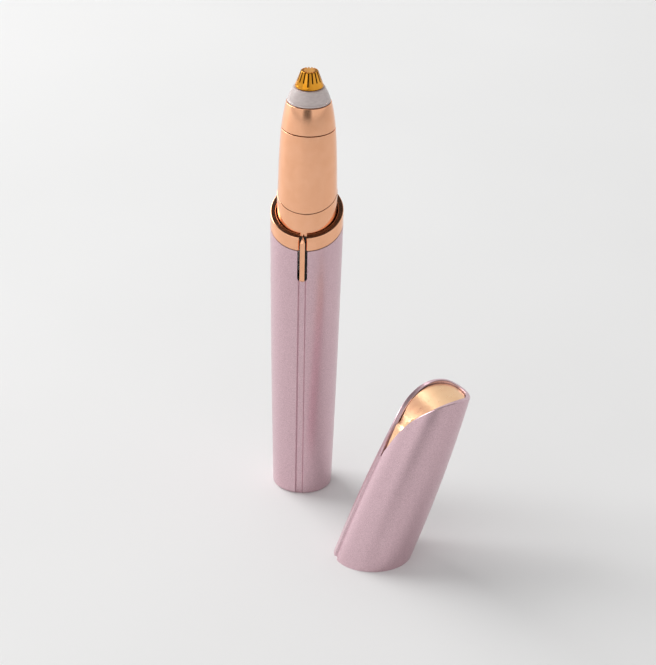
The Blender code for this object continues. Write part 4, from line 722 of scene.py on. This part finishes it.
# Cap
def scoop_edge(margin=0):
    """Half of the opening's edge as (turn, height), front to back, moved into the opening."""
    low = CAP_LENGTH - CAP_SCOOP
    radius = cap_radius(low)
    half = CAP_SLIT / 2 - margin
    edge = [(half * math.sin(a) / radius, low + margin + half * (1 - math.cos(a)))
            for a in spread(0, math.pi / 2, ARC_PIECES)]
    # The share at which the climb below is the length of the slit
    first = math.sqrt(math.asin((CAP_SLIT_LENGTH / CAP_SCOOP) ** 2) * 2 / math.pi)
    for share in spread(first, 1, FINE_PIECES):
        climb = CAP_SCOOP * math.sqrt(math.sin(math.pi / 2 * share * share))
        flare = CAP_SLIT_SPREAD * (1 - math.exp(-(climb / CAP_SLIT_RISE) ** 2))
        turn = CAP_SCOOP_TURN * share * share + flare
        edge.append((turn - margin / radius, low + climb))
    return edge + [(turn, CAP_LENGTH) for turn in spread(edge[-1][0], math.pi, SHORT_PIECES)[1:]]


def scoop_tool(name, margin=0, chamfer=0):
    """A ring over the scooped opening. Its lower rim is the edge, bent down where a chamfer goes."""
    edge = scoop_edge(margin)
    bore = cap_radius(CAP_LENGTH) - CAP_WALL * 2
    reach = BARREL_RADIUS + OVERRUN
    top = CAP_LENGTH + OVERRUN * 2
    half = []
    for i, (turn, height) in enumerate(edge):
        radius = cap_radius(height)
        before, after = edge[max(i - 1, 0)], edge[min(i + 1, len(edge) - 1)]
        along = Vector(((after[0] - before[0]) * radius, after[1] - before[1])).normalized()
        if i in (0, len(edge) - 1):
            along = Vector((1, 0))
        column = []
        for place, drop in ((bore, chamfer), (radius - CAP_WALL, chamfer), (radius - CAP_WALL + chamfer, 0),
                            (radius - chamfer, 0), (radius + chamfer, chamfer * 2), (reach, chamfer * 2)):
            column.append((place, turn + along.y * drop / radius, height - along.x * drop))
        half.append(column + [(reach, turn, top), (bore, turn, top)])
    mirrored = [[(place, -turn, height) for place, turn, height in column]
                for column in reversed(half[1:-1])]
    shape = bmesh.new()
    rings = []
    for column in half + mirrored:
        rings.append([shape.verts.new((r * math.sin(turn), -r * math.cos(turn), z))
                      for r, turn, z in column])
    for a, b in zip(rings, rings[1:] + rings[:1]):
        for i in range(len(a)):
            j = (i + 1) % len(a)
            shape.faces.new((a[i], a[j], b[j], b[i]))
    bmesh.ops.triangulate(shape, faces=shape.faces)
    bmesh.ops.remove_doubles(shape, verts=shape.verts, dist=FINE_MERGE)
    return made(name, shape)


def scoop_outline(setback):
    """Side outline (y, z) of what lies open over the lining, set back from the opening's edge."""
    outline = [(setback - cap_radius(height) * math.cos(turn), height - setback)
               for turn, height in scoop_edge()]
    outside = BARREL_RADIUS + OVERRUN
    top = CAP_LENGTH + OVERRUN * 2
    return outline + [(outside, outline[-1][1]), (outside, top), (-outside, top), (-outside, outline[0][1])]


def make_cap():
    low = -BARREL_RADIUS * SLOPE - OVERRUN
    high = CAP_LENGTH + OVERRUN
    reach = BARREL_RADIUS + OVERRUN
    inner = wall(cap_radius, low, CAP_RIB_FIRST - CAP_RIB_WIDTH, CAP_FOOT_PIECES, CAP_WALL)
    for i in range(CAP_RIBS):
        for offset, rise in ((-1, 0), (0, 1), (1, 0)):
            height = CAP_RIB_FIRST + CAP_RIB_PITCH * i + offset * CAP_RIB_WIDTH / 2
            inner.append((cap_radius(height) - CAP_WALL - rise * CAP_RIB_HEIGHT, height))
    inner += wall(cap_radius, inner[-1][1] + CAP_RIB_WIDTH, high, CAP_BORE_PIECES, CAP_WALL)
    outer = wall(cap_radius, low, high, LONG_PIECES)
    shell = lathe("cap", inner + list(reversed(outer)))
    slit_low = CAP_LENGTH - CAP_SCOOP + CAP_SLIT / 2
    front = Matrix.Rotation(CAP_FRONT_TURN, 4, "Z")
    scoop = scoop_tool("scoop_tool", chamfer=CAP_RIM_EDGE)
    channel = channel_solid("cap_channel_tool", cap_radius, low - OVERRUN, slit_low)
    for tool in (scoop, channel):
        tool.data.transform(front)
    carve(shell, half_space("mouth_tool", 0, False), scoop, channel)

    depth = CAP_WALL + GAP
    insert_low = CAP_LENGTH - CAP_SCOOP - CAP_INSERT_DROP
    insert = turned("cap_lining", wall(cap_radius, insert_low, high, LINING_PIECES, depth))
    tongue_top = CAP_LENGTH - CAP_SCOOP + CAP_TONGUE
    fade = tongue_top + CAP_TONGUE_FADE
    face = wall(cap_radius, insert_low, tongue_top, SHORT_PIECES, CAP_SETBACK / 2)
    face.append((cap_radius(fade) - depth - CAP_INSERT_WALL / 2, fade))
    tongue = turned("lining_tongue", face)
    space = scoop_tool("tongue_space", margin=CAP_TONGUE_GAP)
    space.data.transform(Matrix.Rotation(CAP_TONGUE_TURN, 4, "Z"))
    carve(tongue, space, operation="INTERSECT")
    bore = wall(cap_radius, insert_low - OVERRUN, high, LINING_PIECES, depth + CAP_INSERT_WALL)
    hollow = turned("lining_hollow", bore)
    carve(hollow, side_solid("roof_tool", scoop_outline(CAP_SETBACK + CAP_INSERT_WALL), reach + OVERRUN))
    carve(insert, tongue, operation="UNION")
    carve(insert, side_solid("face_tool", scoop_outline(CAP_SETBACK), reach), hollow)

    turn = Matrix.Rotation(CAP_LEAN - math.pi / 2, 4, "Z") @ Matrix.Rotation(-CAP_TILT, 4, "X")
    place = Matrix.Translation(CAP_PLACE) @ turn
    shell.data.transform(place)
    insert.data.transform(place @ front)
    dress(shell, "cap", "cap_shell", LILAC)
    dress(insert, "cap", "cap_insert", LINING_GOLD)


make_barrel()
make_collar()
make_skirt()
make_neck()
make_head_ring()
make_light_ring()
make_guard()
make_button()
make_shade_strip()
make_cap()


# Floor, light and camera
FLOOR_SIZE = 3
FLOOR_DROP = 0.00002
FLOOR_LOW = (0.82, 0.82, 0.816)
FLOOR_HIGH = (0.84, 0.84, 0.837)
SKY_LOW = (0.85, 0.85, 0.85)
SKY_MIDDLE = (0.75, 0.75, 0.75)
SKY_MIDDLE_PLACE = 0.72
SKY_TOP = (0.04, 0.035, 0.035)
SKY_TOP_PLACE = 0.86
FRONT_DARK_PLACE = -0.99
FRONT_FULL_PLACE = -0.9
FRONT_STRENGTH = 0.2
CAMERA_DISTANCE = 0.711
CAMERA_RISE = math.radians(30.4)
CAMERA_SPIN = math.radians(6)
CAMERA_PITCH = math.radians(27.43)
CAMERA_YAW = math.radians(0.53)
CAMERA_ROLL = math.radians(1.28)
SENSOR_WIDTH = 36
FOCAL_PIXELS = 2828
PHOTO_HEIGHT_PIXELS = 665
CLIP_NEAR = 0.01
CLIP_FAR = 20


def make_floor():
    shape = bmesh.new()
    bmesh.ops.create_grid(shape, x_segments=1, y_segments=1, size=FLOOR_SIZE)
    floor = made("floor", shape)
    floor.location.z = -FLOOR_DROP
    material, tree, shader, place = new_material("pale_floor")
    tone = noise(tree, place, scale=9, detail=2)
    tree.links.new(ramp(tree, tone, FLOOR_LOW, FLOOR_HIGH), shader.inputs["Base Color"])
    tree.links.new(spread_value(tree, tone, low=0.55, high=0.65), shader.inputs["Roughness"])
    floor.data.materials.append(material)


def area_light(name, place, target, size, power):
    lamp = bpy.data.lights.new(name, "AREA")
    lamp.shape = "RECTANGLE"
    lamp.size, lamp.size_y = size
    lamp.energy = power
    thing = bpy.data.objects.new(name, lamp)
    bpy.context.scene.collection.objects.link(thing)
    thing.location = place
    thing.rotation_mode = "QUATERNION"
    thing.rotation_quaternion = (Vector(target) - Vector(place)).to_track_quat("-Z", "Y")


def make_world():
    """Pale up to a dark stretch overhead, and weaker in a narrow stretch right in front."""
    world = bpy.data.worlds.new("studio")
    world.use_nodes = True
    tree = world.node_tree
    back = tree.nodes["Background"]
    place = tree.nodes.new("ShaderNodeTexCoord")
    split = tree.nodes.new("ShaderNodeSeparateXYZ")
    tree.links.new(place.outputs["Generated"], split.inputs["Vector"])
    height = tree.nodes.new("ShaderNodeValToRGB")
    height.color_ramp.elements[0].position = 0
    height.color_ramp.elements[0].color = (*SKY_LOW, 1)
    height.color_ramp.elements[1].position = SKY_TOP_PLACE
    height.color_ramp.elements[1].color = (*SKY_TOP, 1)
    middle = height.color_ramp.elements.new(SKY_MIDDLE_PLACE)
    middle.color = (*SKY_MIDDLE, 1)
    tree.links.new(split.outputs["Z"], height.inputs["Fac"])
    tree.links.new(height.outputs["Color"], back.inputs["Color"])
    depth = tree.nodes.new("ShaderNodeMapRange")
    depth.interpolation_type = "SMOOTHSTEP"
    depth.inputs["From Min"].default_value = FRONT_DARK_PLACE
    depth.inputs["From Max"].default_value = FRONT_FULL_PLACE
    depth.inputs["To Min"].default_value = FRONT_STRENGTH
    depth.inputs["To Max"].default_value = 1
    tree.links.new(split.outputs["Y"], depth.inputs["Value"])
    tree.links.new(depth.outputs["Result"], back.inputs["Strength"])
    bpy.context.scene.world = world


def make_camera():
    """The camera as it was fitted to the photo."""
    spin = Matrix.Rotation(CAMERA_SPIN, 3, "Z")
    back = -CAMERA_DISTANCE * math.cos(CAMERA_RISE)
    place = spin @ Vector((0, back, CAMERA_DISTANCE * math.sin(CAMERA_RISE)))
    east, north = math.sin(CAMERA_YAW), math.cos(CAMERA_YAW)
    level = math.cos(CAMERA_PITCH)
    ahead = spin @ Vector((east * level, north * level, -math.sin(CAMERA_PITCH)))
    right = spin @ Vector((north, -east, 0))
    up = right.cross(ahead)
    side = right * math.cos(CAMERA_ROLL) + up * math.sin(CAMERA_ROLL)
    top = up * math.cos(CAMERA_ROLL) - right * math.sin(CAMERA_ROLL)
    data = bpy.data.cameras.new("camera")
    data.sensor_width = SENSOR_WIDTH
    data.lens = FOCAL_PIXELS * SENSOR_WIDTH / PHOTO_HEIGHT_PIXELS
    data.clip_start = CLIP_NEAR
    data.clip_end = CLIP_FAR
    camera = bpy.data.objects.new("camera", data)
    bpy.context.scene.collection.objects.link(camera)
    camera.matrix_world = Matrix((
        (side.x, top.x, -ahead.x, place.x),
        (side.y, top.y, -ahead.y, place.y),
        (side.z, top.z, -ahead.z, place.z),
        (0, 0, 0, 1)))
    bpy.context.scene.camera = camera


make_floor()
make_world()
area_light("key", place=(-1.3, 0.73, 1.07), target=(0, 0, 0.03), size=(1.4, 1.4), power=30)
area_light("front_fill", place=(-0.5, -0.9, 0.7), target=(0, 0, 0.05), size=(0.9, 0.9), power=1.2)
make_camera()
bpy.context.scene.view_settings.view_transform = "Standard"
